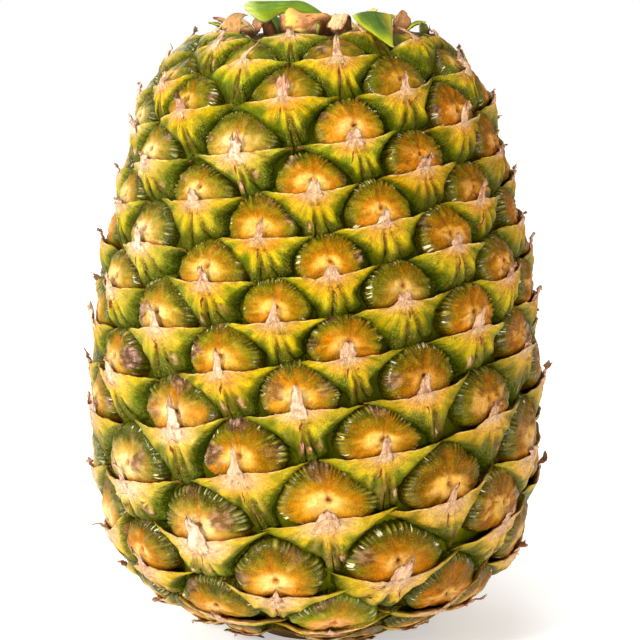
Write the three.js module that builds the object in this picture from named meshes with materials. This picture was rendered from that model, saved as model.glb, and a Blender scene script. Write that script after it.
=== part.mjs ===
// Pineapple without its crown: the whole fruit with its spiral of eyes, the short
// leaf stubs left round the crown scar, and the dried bracts under the base.
// Millimetres, +Z up. The origin is on the table under the middle of the fruit;
// the front is the -Y side and +X is to its right.
import * as THREE from "three";

// ---------------------------------------------------------------- driving sizes
// Meridian of the fruit over the crowns of its eyes, [radius, height], from the
// rim of the flat base to the rim of the crown scar.
const MERIDIAN = [
  [17.9, 0], [21.6, 1.1], [25.2, 2.5], [29.7, 4.5], [34.4, 6.7], [39.9, 9.5],
  [46.3, 13.7], [52.5, 19.3], [56.7, 26.3], [59.6, 34.7], [61.3, 45.9],
  [62.2, 59.9], [61.7, 73.9], [60.6, 87.9], [59.2, 101.9], [55.9, 115.9],
  [52.8, 127.1], [50.0, 138.3], [47.1, 148.1], [43.3, 155.1], [39.1, 160.2],
  [35.3, 163.5], [31.1, 165.5], [25.2, 166.6], [18.5, 167.2], [12.9, 167.3],
];
const MID_HEIGHT = 87.9; // height where the chart's rise is zero
const FIRST_EYE = 36; // top row, under the leaf stubs
const LAST_EYE = 190; // bottom row, round the base
const DIVERGENCE = 137.508; // golden angle between one eye and the next, degrees
// Rise of the eye spiral in units of the local radius, at some eye numbers.
const RISE = [
  [30, 1.882], [50, 1.336], [70, 0.896], [95, 0.442], [120, 0.031],
  [145, -0.448], [160, -0.808], [175, -1.146], [190, -1.451],
];
const SPIRAL_START = 3.415; // bearing of eye 100, degrees right of the front
const SPIRAL_DRIFT = [-0.0695, 5.039e-4, -1.7143e-5]; // slow change of divergence
const SPIRAL_TILT = [0.0463, 0.0145]; // the rows sit lower on the right side
// How far single eyes sit off the even spiral: [degrees, rise].
const EYE_SHIFT = {
  37: [-2.7, 0.006], 40: [4.7, 0.061], 45: [-1.2, -0.019], 48: [3.4, -0.021],
  50: [-1.1, 0.07], 53: [1.9, -0.033], 58: [-2.7, 0.025], 61: [4.0, -0.021],
  63: [-4.1, 0.04], 66: [-1.2, -0.01], 69: [4.1, -0.018], 71: [-1.4, 0],
  74: [0, 0.018], 76: [-2.1, 0.016], 79: [1.3, -0.022], 82: [0, 0.004],
  84: [1.9, -0.007], 87: [0.4, -0.003], 90: [5.0, 0.017], 92: [1.8, -0.01],
  95: [1.3, 0.026], 97: [-2.6, -0.002], 100: [0.2, -0.019], 103: [0.5, 0.002],
  105: [2.0, -0.003], 108: [-1.9, 0.013], 110: [0.5, -0.023], 113: [0.2, -0.005],
  116: [-0.9, 0.023], 118: [1.6, -0.007], 121: [-2.5, -0.001], 124: [1.0, 0.031],
  126: [0.7, -0.009], 129: [-3.5, -0.006], 131: [-2.9, -0.022], 134: [-0.1, 0.012],
  137: [-3.0, 0.026], 139: [2.2, -0.025], 142: [-0.3, 0.007], 147: [0.2, 0.012],
  150: [-1.8, -0.018], 152: [-0.7, -0.013], 155: [1.3, 0.043], 158: [-0.3, 0.03],
  160: [3.8, 0.003], 163: [1.0, -0.038], 168: [4.1, -0.035], 171: [0.6, -0.085],
  173: [-2.2, 0.09], 176: [-0.6, -0.14], 181: [1.5, 0.024],
};
const GROOVE_DEPTH = 3.6; // grooves between the eyes
const TIP_HEIGHT = 2.3; // dry tip that stands out of the middle of each eye
const CROWN_BED = { rim: 26.5, inner: 9.2, height: 165.2, scar: 164.2 };
const LEAF_THICKNESS = 0.9;
const GAP = 0.35; // clearance between a leaf and the fruit

// ---------------------------------------------------------------- the surface
// Monotone cubic through points (xs, ys).
function pchip(xs, ys) {
  const n = xs.length, h = [], d = [], m = new Array(n).fill(0);
  for (let i = 0; i < n - 1; i++) {
    h.push(xs[i + 1] - xs[i]);
    d.push((ys[i + 1] - ys[i]) / h[i]);
  }
  for (let i = 1; i < n - 1; i++)
    if (d[i - 1] * d[i] > 0) {
      const a = 2 * h[i] + h[i - 1], b = h[i] + 2 * h[i - 1];
      m[i] = (a + b) / (a / d[i - 1] + b / d[i]);
    }
  m[0] = d[0];
  m[n - 1] = d[n - 2];
  return (x) => {
    let i = 0;
    while (i < n - 2 && x > xs[i + 1]) i++;
    const t = (x - xs[i]) / h[i], t2 = t * t, t3 = t2 * t;
    return (2 * t3 - 3 * t2 + 1) * ys[i] + (t3 - 2 * t2 + t) * h[i] * m[i] +
      (3 * t2 - 2 * t3) * ys[i + 1] + (t3 - t2) * h[i] * m[i + 1];
  };
}

// The chart of the surface is (bearing, rise): rise is arc length over local
// radius, so that eyes keep their shape wherever they sit.
const table = (() => {
  const t = [0];
  for (let i = 1; i < MERIDIAN.length; i++)
    t.push(t[i - 1] + Math.hypot(MERIDIAN[i][0] - MERIDIAN[i - 1][0], MERIDIAN[i][1] - MERIDIAN[i - 1][1]));
  const fr = pchip(t, MERIDIAN.map((p) => p[0])), fz = pchip(t, MERIDIAN.map((p) => p[1]));
  const N = 1600, r = [], z = [], w = [0];
  for (let i = 0; i <= N; i++) {
    const s = (t[t.length - 1] * i) / N;
    r.push(fr(s));
    z.push(fz(s));
    if (i) w.push(w[i - 1] + (2 * Math.hypot(r[i] - r[i - 1], z[i] - z[i - 1])) / (r[i] + r[i - 1]));
  }
  let j = 0;
  while (z[j] < MID_HEIGHT) j++;
  const w0 = w[j];
  return { r, z, w: w.map((v) => v - w0) };
})();

function onMeridian(rise) {
  const { r, z, w } = table, last = w.length - 1;
  const x = Math.min(Math.max(rise, w[0]), w[last]);
  let a = 0, b = last;
  while (b - a > 1) {
    const c = (a + b) >> 1;
    if (w[c] <= x) a = c;
    else b = c;
  }
  const k = (x - w[a]) / (w[b] - w[a]);
  const dr = r[b] - r[a], dz = z[b] - z[a], l = Math.hypot(dr, dz);
  return { r: r[a] + k * dr, z: z[a] + k * dz, nr: dz / l, nz: -dr / l };
}

// Point of the fruit at a bearing (radians right of the front) and rise, lifted
// along the normal.
function surface(bearing, rise, lift = 0) {
  const m = onMeridian(rise), r = m.r + m.nr * lift;
  return new THREE.Vector3(r * Math.sin(bearing), -r * Math.cos(bearing), m.z + m.nz * lift);
}

// ---------------------------------------------------------------- the eyes
const riseSpline = (() => {
  // natural cubic spline through RISE
  const x = RISE.map((p) => p[0]), y = RISE.map((p) => p[1]), n = x.length;
  const a = new Array(n).fill(0), l = new Array(n).fill(1), mu = new Array(n).fill(0), q = new Array(n).fill(0), c = new Array(n).fill(0);
  const h = x.slice(1).map((v, i) => v - x[i]);
  for (let i = 1; i < n - 1; i++) a[i] = (3 * (y[i + 1] - y[i])) / h[i] - (3 * (y[i] - y[i - 1])) / h[i - 1];
  for (let i = 1; i < n - 1; i++) {
    l[i] = 2 * (x[i + 1] - x[i - 1]) - h[i - 1] * mu[i - 1];
    mu[i] = h[i] / l[i];
    q[i] = (a[i] - h[i - 1] * q[i - 1]) / l[i];
  }
  for (let i = n - 2; i >= 0; i--) c[i] = q[i] - mu[i] * c[i + 1];
  return (v) => {
    let i = 0;
    while (i < n - 2 && v > x[i + 1]) i++;
    const b = (y[i + 1] - y[i]) / h[i] - (h[i] * (c[i + 1] + 2 * c[i])) / 3;
    const d = (c[i + 1] - c[i]) / (3 * h[i]);
    const t = v - x[i];
    return v < x[0] ? y[0] + b * t : y[i] + b * t + c[i] * t * t + (v > x[n - 1] ? 0 : d * t * t * t);
  };
})();

// Bearing (unwrapped, radians) and rise of eye n.
function eye(n) {
  const m = n - 100;
  let b = SPIRAL_START + m * (DIVERGENCE + SPIRAL_DRIFT[0]) + SPIRAL_DRIFT[1] * m * m + SPIRAL_DRIFT[2] * m * m * m;
  let w = riseSpline(n) - (SPIRAL_TILT[0] + (SPIRAL_TILT[1] * (n - 110)) / 75) * Math.sin((b * Math.PI) / 180);
  const s = EYE_SHIFT[n];
  if (s) {
    b += s[0];
    w += s[1];
  }
  return [(b * Math.PI) / 180, w];
}

// Difference of two chart points with the bearing wrapped to half a turn.
const wrap = (a) => a - 2 * Math.PI * Math.round(a / (2 * Math.PI));
// Chart point in the middle of eye n and the eyes n + i and n + j.
function corner(n, i, j) {
  const [b, w] = eye(n), [b1, w1] = eye(n + i), [b2, w2] = eye(n + j);
  return [b + (wrap(b1 - b) + wrap(b2 - b)) / 3, (w + w1 + w2) / 3];
}

function fruitBody() {
  const points = [], index = new Map(), faces = [];
  const vertex = (key, make) => {
    if (!index.has(key)) {
      index.set(key, points.length);
      points.push(make());
    }
    return index.get(key);
  };
  const bearingOf = new Map();
  const groove = (bw) => surface(bw[0], bw[1], -GROOVE_DEPTH * (bw[1] > 1.5 || bw[1] < -1.5 ? 0.6 : 1));
  const edgeUse = new Map();
  for (let n = FIRST_EYE; n <= LAST_EYE; n++) {
    const [b0, w0] = eye(n);
    // the six corners, counter-clockwise seen from outside, from the lower right
    const cs = [
      ["B", n - 13, 13, 21, -13], // right upper corner owned by eye n-13: (n-13, n, n+8)
      ["A", n - 21, 8, 21, -21],
      ["B", n - 21, 13, 21, -21],
      ["A", n - 8, 8, 21, -8],
      ["B", n, 13, 21, 0],
      ["A", n, 8, 21, 0],
    ].map(([t, o, i, j]) => ({ key: t + o, bw: corner(o, i, j) }));
    const ring = [];
    cs.forEach((c, k) => {
      const e = cs[(k + 1) % 6];
      const put = (key, bw) => {
        const id = vertex(key, () => groove(bw));
        if (!bearingOf.has(id)) bearingOf.set(id, bw);
        return { id, d: [wrap(bw[0] - b0), bw[1] - w0] };
      };
      const mid = [c.bw[0] + wrap(e.bw[0] - c.bw[0]) / 2, (c.bw[1] + e.bw[1]) / 2];
      ring.push(put(c.key, c.bw), put([c.key, e.key].sort().join("|"), mid));
    });
    // rim of the eye: 12 points inside the groove, high above, sloping below
    const small = w0 > 1.45 || w0 < -1.3 ? 0.7 : 1;
    const rim = ring.map((g, k) => {
      const up = g.d[1] > -0.02, f = up ? 0.84 : 0.8;
      return vertex(`rim${n}.${k}`, () => surface(b0 + g.d[0] * f, w0 + g.d[1] * f, up ? -0.7 * small : -1.9 * small));
    });
    // middle ring: cap above the bract edge, bract below it
    const inner = [0, 2, 4, 6, 8, 10].map((k) => {
      const g = ring[k], up = g.d[1] > 0.05, level = Math.abs(g.d[1]) <= 0.05;
      const f = up ? 0.4 : 0.42;
      return vertex(`mid${n}.${k}`, () => surface(b0 + g.d[0] * f, w0 + g.d[1] * f, level ? 0.2 : up ? -0.4 : 0.1));
    });
    const apex = vertex(`tip${n}`, () => {
      const m = onMeridian(w0);
      const low = w0 > 1.5 ? 0.35 : small;
      return surface(b0, w0 + (2.2 * low) / m.r, TIP_HEIGHT * low);
    });
    for (let k = 0; k < 12; k++) {
      const l = (k + 1) % 12;
      faces.push([ring[k].id, ring[l].id, rim[l]], [ring[k].id, rim[l], rim[k]]);
      edgeUse.set(ring[k].id + ">" + ring[l].id, [ring[k].id, ring[l].id]);
    }
    for (let k = 0; k < 6; k++) {
      const a = rim[2 * k], b = rim[2 * k + 1], c = rim[(2 * k + 2) % 12];
      const p = inner[k], q = inner[(k + 1) % 6];
      faces.push([a, b, p], [b, q, p], [b, c, q], [p, q, apex]);
    }
  }
  // open edges of the field of eyes: one loop under the leaves, one at the base
  const next = new Map();
  for (const [k, [a, b]] of edgeUse) if (!edgeUse.has(b + ">" + a)) next.set(b, a);
  const seen = new Set(), loops = [];
  for (const s of next.keys()) {
    if (seen.has(s)) continue;
    const loop = [];
    let v = s;
    while (!seen.has(v)) {
      seen.add(v);
      loop.push(v);
      v = next.get(v);
    }
    loops.push(loop);
  }
  for (const loop of loops) {
    const top = points[loop[0]].z > MID_HEIGHT;
    const rings = top
      ? [[CROWN_BED.rim, CROWN_BED.height], [CROWN_BED.inner, CROWN_BED.height + 0.3], [CROWN_BED.inner - 1, CROWN_BED.scar]]
      : [[26, 3.6], [17.9, 0]];
    let prev = loop, tag = top ? "t" : "b";
    rings.forEach(([r, z], i) => {
      const now = loop.map((id, k) => {
        const b = Math.atan2(points[id].x, -points[id].y);
        return vertex(`${tag}${i}.${k}`, () => new THREE.Vector3(r * Math.sin(b), -r * Math.cos(b), z));
      });
      now.forEach((v, k) => {
        const l = (k + 1) % now.length;
        faces.push([prev[k], prev[l], now[l]], [prev[k], now[l], now[k]]);
      });
      prev = now;
    });
    const c = vertex(tag + "c", () => new THREE.Vector3(0, 0, top ? CROWN_BED.scar - 0.3 : 0));
    prev.forEach((v, k) => faces.push([v, prev[(k + 1) % prev.length], c]));
  }
  return solid(points, faces);
}

// Geometry from shared points and triangles, turned outwards if need be.
function solid(points, faces) {
  let vol = 0;
  for (const [a, b, c] of faces) vol += points[a].dot(points[b].clone().cross(points[c]));
  const g = new THREE.BufferGeometry();
  g.setAttribute("position", new THREE.Float32BufferAttribute(points.flatMap((p) => [p.x, p.y, p.z]), 3));
  g.setIndex(faces.flatMap(([a, b, c]) => (vol > 0 ? [a, b, c] : [a, c, b])));
  g.computeVertexNormals();
  return g;
}

// ---------------------------------------------------------------- leaves
// A leaf blade from stations [left edge, right edge], bowed across by `camber`.
function blade(stations, camber = 0.6, thickness = LEAF_THICKNESS) {
  const st = stations.map(([l, r]) => [new THREE.Vector3(...l), new THREE.Vector3(...r)]);
  const mids = st.map(([l, r]) => l.clone().add(r).multiplyScalar(0.5));
  const upper = [], lower = [];
  st.forEach(([l, r], i) => {
    const t = mids[Math.min(i + 1, st.length - 1)].clone().sub(mids[Math.max(i - 1, 0)]);
    const nrm = t.cross(r.clone().sub(l)).normalize();
    const m = mids[i].clone().addScaledVector(nrm, camber * Math.min(1, l.distanceTo(r) / 8));
    for (const p of [l, m, r]) {
      upper.push(p.clone().addScaledVector(nrm, thickness / 2));
      lower.push(p.clone().addScaledVector(nrm, -thickness / 2));
    }
  });
  const points = [...upper, ...lower], o = upper.length, faces = [], rows = st.length;
  const quad = (a, b, c, d) => faces.push([a, b, c], [a, c, d]);
  for (let i = 0; i < rows - 1; i++) {
    for (let j = 0; j < 2; j++) {
      const a = i * 3 + j, b = a + 1, c = b + 3, d = a + 3;
      quad(a, b, c, d);
      quad(o + a, o + d, o + c, o + b);
    }
    quad(i * 3, i * 3 + 3, o + i * 3 + 3, o + i * 3);
    quad(i * 3 + 2, o + i * 3 + 2, o + i * 3 + 5, i * 3 + 5);
  }
  const e = (rows - 1) * 3;
  for (let j = 0; j < 2; j++) {
    quad(j, o + j, o + j + 1, j + 1);
    quad(e + j, e + j + 1, o + e + j + 1, o + e + j);
  }
  return solid(points, faces);
}

// Stub that stands in the crown bed: bearing in degrees, root radius, width at
// the root, height, how far it leans out, how far its end curls over.
function stub(bearing, radius, width, height, lean, curl, skew = 0) {
  const b = (bearing * Math.PI) / 180, out = [];
  const rows = [[0, 1], [0.35, 1.04], [0.7, 0.86], [1, 0.5]];
  for (const [t, k] of rows) {
    const r = radius + lean * t + curl * t * t * t;
    const z = CROWN_BED.height + 0.3 + GAP + 0.15 + height * (t - 0.28 * t * t * t * Math.min(1, curl / 4));
    const half = (width * k) / 2, o = skew * t;
    const at = (s) => [
      r * Math.sin(b) + (s * half + o) * Math.cos(b),
      -r * Math.cos(b) + (s * half + o) * Math.sin(b),
      z,
    ];
    out.push([at(-1), at(1)]);
  }
  return out;
}

// Dried bract that lies along the underside towards the base.
function basalBract(bearing, rise, width, length, lift) {
  const b = (bearing * Math.PI) / 180, out = [];
  for (const [t, k] of [[0, 1], [0.4, 0.9], [0.75, 0.6], [1, 0.2]]) {
    const w = rise + length * t, m = onMeridian(w), half = (width * k) / 2 / m.r;
    const h = GAP + 0.45 + lift * t * t;
    out.push([b - half, b + half].map((q) => surface(q, w, h).toArray()));
  }
  return out;
}

// Stubs at the front of the crown bed, edge by edge from root to end.
const FRONT_LEAVES = {
  crown_leaf_tan_curled: [
    [[-24.3, -16.2, 165.9], [-19.9, -18.5, 165.9]],
    [[-24.6, -15.1, 167.6], [-19.4, -17.4, 167.6]],
    [[-24.2, -13.2, 170.0], [-19.2, -15.1, 169.7]],
    [[-22.3, -10.6, 171.4], [-18.3, -12.6, 170.9]],
    [[-19.8, -7.8, 171.8], [-17.6, -9.5, 171.1]],
  ],
  crown_leaf_brown_flap: [
    [[-14.0, -5.2, 166.3], [-10.2, -6.0, 166.3]],
    [[-14.8, -7.4, 169.4], [-11.6, -8.2, 169.4]],
    [[-15.4, -10.5, 170.6], [-12.8, -11.2, 170.0]],
    [[-17.2, -12.9, 169.0], [-13.2, -13.7, 168.7]],
    [[-16.3, -15.1, 167.5], [-14.2, -15.7, 167.3]],
    [[-15.6, -16.3, 166.6], [-15.0, -16.6, 166.5]],
  ],
  crown_leaf_green_folded: [
    [[7.2, -6.9, 166.4], [2.6, -8.9, 166.2]],
    [[2.6, -6.2, 171.0], [0.6, -7.4, 168.6]],
    [[-3.2, -6.7, 174.6], [-3.8, -8.4, 170.8]],
    [[-8.0, -8.4, 174.8], [-8.8, -11.8, 171.3]],
    [[-13.5, -10.6, 174.7], [-12.9, -16.2, 168.9]],
    [[-16.9, -12.0, 174.6], [-15.8, -15.4, 170.0]],
    [[-18.9, -12.9, 173.9], [-18.5, -14.0, 172.1]],
  ],
  crown_leaf_brown_veined: [
    [[4.6, -11.4, 166.3], [0.4, -12.4, 166.2]],
    [[3.4, -12.3, 171.1], [1.1, -14.6, 168.9]],
    [[-0.3, -14.0, 171.2], [-0.6, -18.5, 168.4]],
    [[-4.0, -15.7, 171.4], [-1.8, -21.3, 166.9]],
    [[-6.6, -16.8, 172.8], [-3.9, -23.7, 166.4]],
    [[-8.0, -18.5, 171.7], [-8.0, -22.6, 167.8]],
  ],
  crown_leaf_tan_ragged: [
    [[5.2, -13.6, 166.3], [9.6, -13.0, 166.3]],
    [[4.2, -15.9, 170.8], [9.2, -15.6, 170.0]],
    [[2.4, -19.6, 168.4], [8.6, -19.3, 168.1]],
    [[3.3, -21.8, 167.0], [7.0, -21.8, 166.8]],
    [[4.4, -24.0, 166.2], [5.9, -23.8, 166.2]],
  ],
  crown_leaf_green_triangle: [
    [[11.4, -9.6, 166.3], [17.2, -9.0, 166.2]],
    [[11.0, -14.6, 168.9], [19.2, -14.0, 168.4]],
    [[9.4, -20.2, 170.8], [19.8, -19.0, 170.6]],
    [[11.0, -25.8, 168.6], [19.8, -24.1, 168.1]],
    [[14.7, -31.4, 165.9], [19.6, -29.1, 165.7]],
    [[18.7, -35.7, 162.7], [19.5, -35.3, 162.5]],
  ],
  crown_leaf_tan_striated: [
    [[20.5, -14.6, 166.2], [23.0, -15.2, 166.2]],
    [[20.4, -12.9, 170.0], [25.4, -12.9, 169.2]],
    [[21.9, -11.8, 171.7], [24.3, -11.8, 171.3]],
    [[22.8, -11.2, 172.4], [23.4, -11.2, 172.3]],
  ],
  crown_leaf_dark_green: [
    [[27.6, -12.6, 166.3], [30.3, -7.0, 166.4]],
    [[27.5, -11.4, 168.4], [30.1, -7.4, 168.0]],
    [[27.9, -10.1, 169.5], [29.3, -8.0, 168.9]],
  ],
};
// Stubs round the back: name, bearing, root radius, width, height, lean, curl, skew, colour.
const BACK_LEAVES = [
  ["crown_leaf_green_right", 86, 24.5, 8.6, 6.2, 3.0, 3.6, 0.8, "green"],
  ["crown_leaf_dry_right", 112, 23.5, 8.2, 4.6, 2.4, 1.0, -0.6, "dry"],
  ["crown_leaf_green_back_a", 137, 24.0, 8.8, 7.4, 4.0, 5.0, 0.6, "green"],
  ["crown_leaf_tan_back_a", 161, 23.6, 7.8, 5.6, 2.0, 1.5, 1.0, "tan"],
  ["crown_leaf_dry_back_a", 184, 24.2, 8.2, 4.2, 3.0, 2.0, -0.8, "dry"],
  ["crown_leaf_green_back_b", 209, 22.6, 8.6, 6.8, 3.6, 4.4, -0.5, "green"],
  ["crown_leaf_tan_back_b", 232, 24.4, 8.0, 5.0, 2.6, 1.0, 0.7, "tan"],
  ["crown_leaf_dry_left", 256, 23.6, 8.2, 5.4, 3.0, 2.6, 0.4, "dry"],
  ["crown_leaf_green_left", 280, 24.6, 7.6, 5.6, 2.8, 3.0, -0.6, "green"],
  ["crown_leaf_inner_right", 72, 14.2, 6.6, 7.6, 2.2, 1.0, 0.5, "green"],
  ["crown_leaf_inner_back_a", 118, 13.4, 7.6, 8.2, 3.0, 2.0, -0.7, "tan"],
  ["crown_leaf_inner_back_b", 164, 13.8, 7.6, 7.0, 2.6, 1.4, 0.8, "green"],
  ["crown_leaf_inner_back_c", 210, 13.2, 7.4, 8.0, 3.2, 2.4, -0.4, "dry"],
  ["crown_leaf_inner_left", 252, 13.6, 6.8, 6.8, 2.6, 1.2, 0.6, "tan"],
];
// Dried bracts at the base: name, bearing, rise of the root, width, length in
// rise, how far the end lifts off.
const BASAL_BRACTS = [
  ["basal_bract_front", 24, -2.05, 12.5, 0.36, 0.7],
  ["basal_bract_front_left", -44, -2.0, 10.5, 0.33, 0.9],
  ["basal_bract_right", 78, -2.06, 11.0, 0.34, 0.5],
  ["basal_bract_back_right", 131, -2.0, 10.5, 0.33, 0.8],
  ["basal_bract_back", 187, -2.06, 12.0, 0.35, 0.6],
  ["basal_bract_back_left", 243, -2.02, 11.0, 0.34, 0.8],
];

// ---------------------------------------------------------------- the model
const paint = {
  fruit: { color: 0x9c9a1e, roughness: 0.5 },
  green: { color: 0x6f8f1e, roughness: 0.5 },
  tan: { color: 0xcaa263, roughness: 0.75 },
  dry: { color: 0xa06a3c, roughness: 0.85 },
};
const group = new THREE.Group();
function add(name, geometry, look) {
  const mesh = new THREE.Mesh(geometry, new THREE.MeshStandardMaterial({ ...paint[look], metalness: 0 }));
  mesh.name = name;
  group.add(mesh);
}
add("fruit_body", fruitBody(), "fruit");
const FRONT_LOOK = {
  crown_leaf_tan_curled: "tan",
  crown_leaf_brown_flap: "dry",
  crown_leaf_green_folded: "green",
  crown_leaf_brown_veined: "dry",
  crown_leaf_tan_ragged: "tan",
  crown_leaf_green_triangle: "green",
  crown_leaf_tan_striated: "tan",
  crown_leaf_dark_green: "green",
};
for (const [name, st] of Object.entries(FRONT_LEAVES)) add(name, blade(st, 0.4), FRONT_LOOK[name]);
for (const [name, b, r, w, h, lean, curl, skew, look] of BACK_LEAVES)
  add(name, blade(stub(b, r, w, h, lean, curl, skew), 0.9), look);
for (const [name, b, rise, w, len, lift] of BASAL_BRACTS)
  add(name, blade(basalBract(b, rise, w, len, lift), 0.3, 0.7), "dry");

export default group;
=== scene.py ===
"""A pineapple without its crown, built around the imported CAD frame.

The fruit is a surface of revolution with a golden-angle spiral of eyes. Each eye is a
cap (a domed pad of fused sepals with a crinkled rim), a bract (the curved scale below
it with two wings and pronged lower end) and the dry papery tip of the bract. Sizes are
written in millimetres and turned into metres when a mesh is made.
"""
import math

import bpy
import numpy as np
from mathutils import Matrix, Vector


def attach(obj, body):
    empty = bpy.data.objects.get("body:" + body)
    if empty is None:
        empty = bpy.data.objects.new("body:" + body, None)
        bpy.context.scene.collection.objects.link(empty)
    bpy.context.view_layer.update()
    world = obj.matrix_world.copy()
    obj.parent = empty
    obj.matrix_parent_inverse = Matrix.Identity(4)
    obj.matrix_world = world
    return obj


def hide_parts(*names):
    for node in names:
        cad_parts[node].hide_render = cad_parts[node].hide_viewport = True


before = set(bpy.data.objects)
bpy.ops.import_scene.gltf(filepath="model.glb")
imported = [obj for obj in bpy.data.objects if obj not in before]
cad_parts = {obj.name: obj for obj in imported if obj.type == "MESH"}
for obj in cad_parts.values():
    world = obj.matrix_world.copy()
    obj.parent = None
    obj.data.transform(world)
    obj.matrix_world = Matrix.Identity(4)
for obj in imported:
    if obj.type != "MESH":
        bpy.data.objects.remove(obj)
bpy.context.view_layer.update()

MM = 0.001
TAU = 2 * math.pi

# ------------------------------------------------------------------ the fruit's sizes
MERIDIAN = [
    (17.9, 0), (21.6, 1.1), (25.2, 2.5), (29.7, 4.5), (34.4, 6.7), (39.9, 9.5),
    (46.3, 13.7), (52.5, 19.3), (56.7, 26.3), (59.6, 34.7), (61.3, 45.9),
    (62.2, 59.9), (61.7, 73.9), (60.6, 87.9), (59.2, 101.9), (55.9, 115.9),
    (52.8, 127.1), (50.0, 138.3), (47.1, 148.1), (43.3, 155.1), (39.1, 160.2),
    (35.3, 163.5), (31.1, 165.5), (25.2, 166.6), (18.5, 167.2), (12.9, 167.3),
]
MID_HEIGHT = 87.9
RISE = [
    (30, 1.882), (50, 1.336), (70, 0.896), (95, 0.442), (120, 0.031),
    (145, -0.448), (160, -0.808), (175, -1.146), (190, -1.451),
]
DIVERGENCE, SPIRAL_START = 137.508, 3.415
SPIRAL_DRIFT = (-0.0695, 5.039e-4, -1.7143e-5)
SPIRAL_TILT = (0.0463, 0.0145)
EYE_SHIFT = {
    37: (-2.7, 0.006), 40: (4.7, 0.061), 45: (-1.2, -0.019), 48: (3.4, -0.021),
    50: (-1.1, 0.07), 53: (1.9, -0.033), 58: (-2.7, 0.025), 61: (4.0, -0.021),
    63: (-4.1, 0.04), 66: (-1.2, -0.01), 69: (4.1, -0.018), 71: (-1.4, 0),
    74: (0, 0.018), 76: (-2.1, 0.016), 79: (1.3, -0.022), 82: (0, 0.004),
    84: (1.9, -0.007), 87: (0.4, -0.003), 90: (5.0, 0.017), 92: (1.8, -0.01),
    95: (1.3, 0.026), 97: (-2.6, -0.002), 100: (0.2, -0.019), 103: (0.5, 0.002),
    105: (2.0, -0.003), 108: (-1.9, 0.013), 110: (0.5, -0.023), 113: (0.2, -0.005),
    116: (-0.9, 0.023), 118: (1.6, -0.007), 121: (-2.5, -0.001), 124: (1.0, 0.031),
    126: (0.7, -0.009), 129: (-3.5, -0.006), 131: (-2.9, -0.022), 134: (-0.1, 0.012),
    137: (-3.0, 0.026), 139: (2.2, -0.025), 142: (-0.3, 0.007), 147: (0.2, 0.012),
    150: (-1.8, -0.018), 152: (-0.7, -0.013), 155: (1.3, 0.043), 158: (-0.3, 0.03),
    160: (3.8, 0.003), 163: (1.0, -0.038), 168: (4.1, -0.035), 171: (0.6, -0.085),
    173: (-2.2, 0.09), 176: (0.9, -0.14), 181: (1.5, 0.024),
}
FIRST_EYE, LAST_EYE = 32, 206
MERGED = (184, 189)  # small eyes under the front that have grown into the ones beside them
CROWN_BED = dict(rim=26.5, inner=9.2, height=165.2, scar=164.2)
GAP = 0.35

# ------------------------------------------------------------------ small maths
def smooth(a, b, x):
    t = np.clip((np.asarray(x, float) - a) / (b - a), 0, 1)
    return t * t * (3 - 2 * t)


def bump(x, width):
    return np.exp(-((x / width) ** 2))


def hashed(i, j, k):
    h = (i.astype(np.int64) * 374761393 + j.astype(np.int64) * 668265263 + k * 2147483647 + 12345) & 0xFFFFFFFF
    h = ((h ^ (h >> 13)) * 1274126177) & 0xFFFFFFFF
    h = ((h ^ (h >> 16)) * 2246822519) & 0xFFFFFFFF
    return ((h ^ (h >> 15)) & 0xFFFFFF) / float(0xFFFFFF) * 2 - 1


def noise(x, y, seed=0):
    """Smooth value noise from -1 to 1, one feature per unit."""
    x, y = np.broadcast_arrays(np.asarray(x, float), np.asarray(y, float))
    i, j = np.floor(x), np.floor(y)
    u, v = x - i, y - j
    u, v = u * u * (3 - 2 * u), v * v * (3 - 2 * v)
    a, b = hashed(i, j, seed), hashed(i + 1, j, seed)
    c, d = hashed(i, j + 1, seed), hashed(i + 1, j + 1, seed)
    return (a * (1 - u) + b * u) * (1 - v) + (c * (1 - u) + d * u) * v


def fbm(x, y, seed=0, octaves=3):
    total, amp = 0, 1.0
    for o in range(octaves):
        total = total + amp * noise(x * 2**o + 17.3 * o, y * 2**o - 9.1 * o, seed + o)
        amp *= 0.5
    return total / 1.75


def mixc(a, b, t):
    """Mix of two colours, or arrays of colours, by an array of shares."""
    a, b = np.asarray(a, float), np.asarray(b, float)
    return a + (b - a) * np.clip(np.asarray(t, float), 0, 1)[..., None]


def ramp(stops, x):
    """Colours along x through (position, (r, g, b)) stops."""
    p = [s[0] for s in stops]
    c = np.array([s[1] for s in stops], float)
    return np.stack([np.interp(x, p, c[:, i]) for i in range(3)], -1)


def linear(c):
    c = np.clip(np.asarray(c, float) / 255, 0, 1)
    return np.where(c <= 0.04045, c / 12.92, ((c + 0.055) / 1.055) ** 2.4)


def pchip(xs, ys, x):
    xs, ys = np.asarray(xs, float), np.asarray(ys, float)
    h = np.diff(xs)
    d = np.diff(ys) / h
    m = np.zeros(len(xs))
    for i in range(1, len(xs) - 1):
        if d[i - 1] * d[i] > 0:
            a, b = 2 * h[i] + h[i - 1], h[i] + 2 * h[i - 1]
            m[i] = (a + b) / (a / d[i - 1] + b / d[i])
    m[0], m[-1] = d[0], d[-1]
    i = np.clip(np.searchsorted(xs, x, side="right") - 1, 0, len(h) - 1)
    t = (x - xs[i]) / h[i]
    t2, t3 = t * t, t * t * t
    return (
        (2 * t3 - 3 * t2 + 1) * ys[i] + (t3 - 2 * t2 + t) * h[i] * m[i]
        + (3 * t2 - 2 * t3) * ys[i + 1] + (t3 - t2) * h[i] * m[i + 1]
    )


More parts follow.
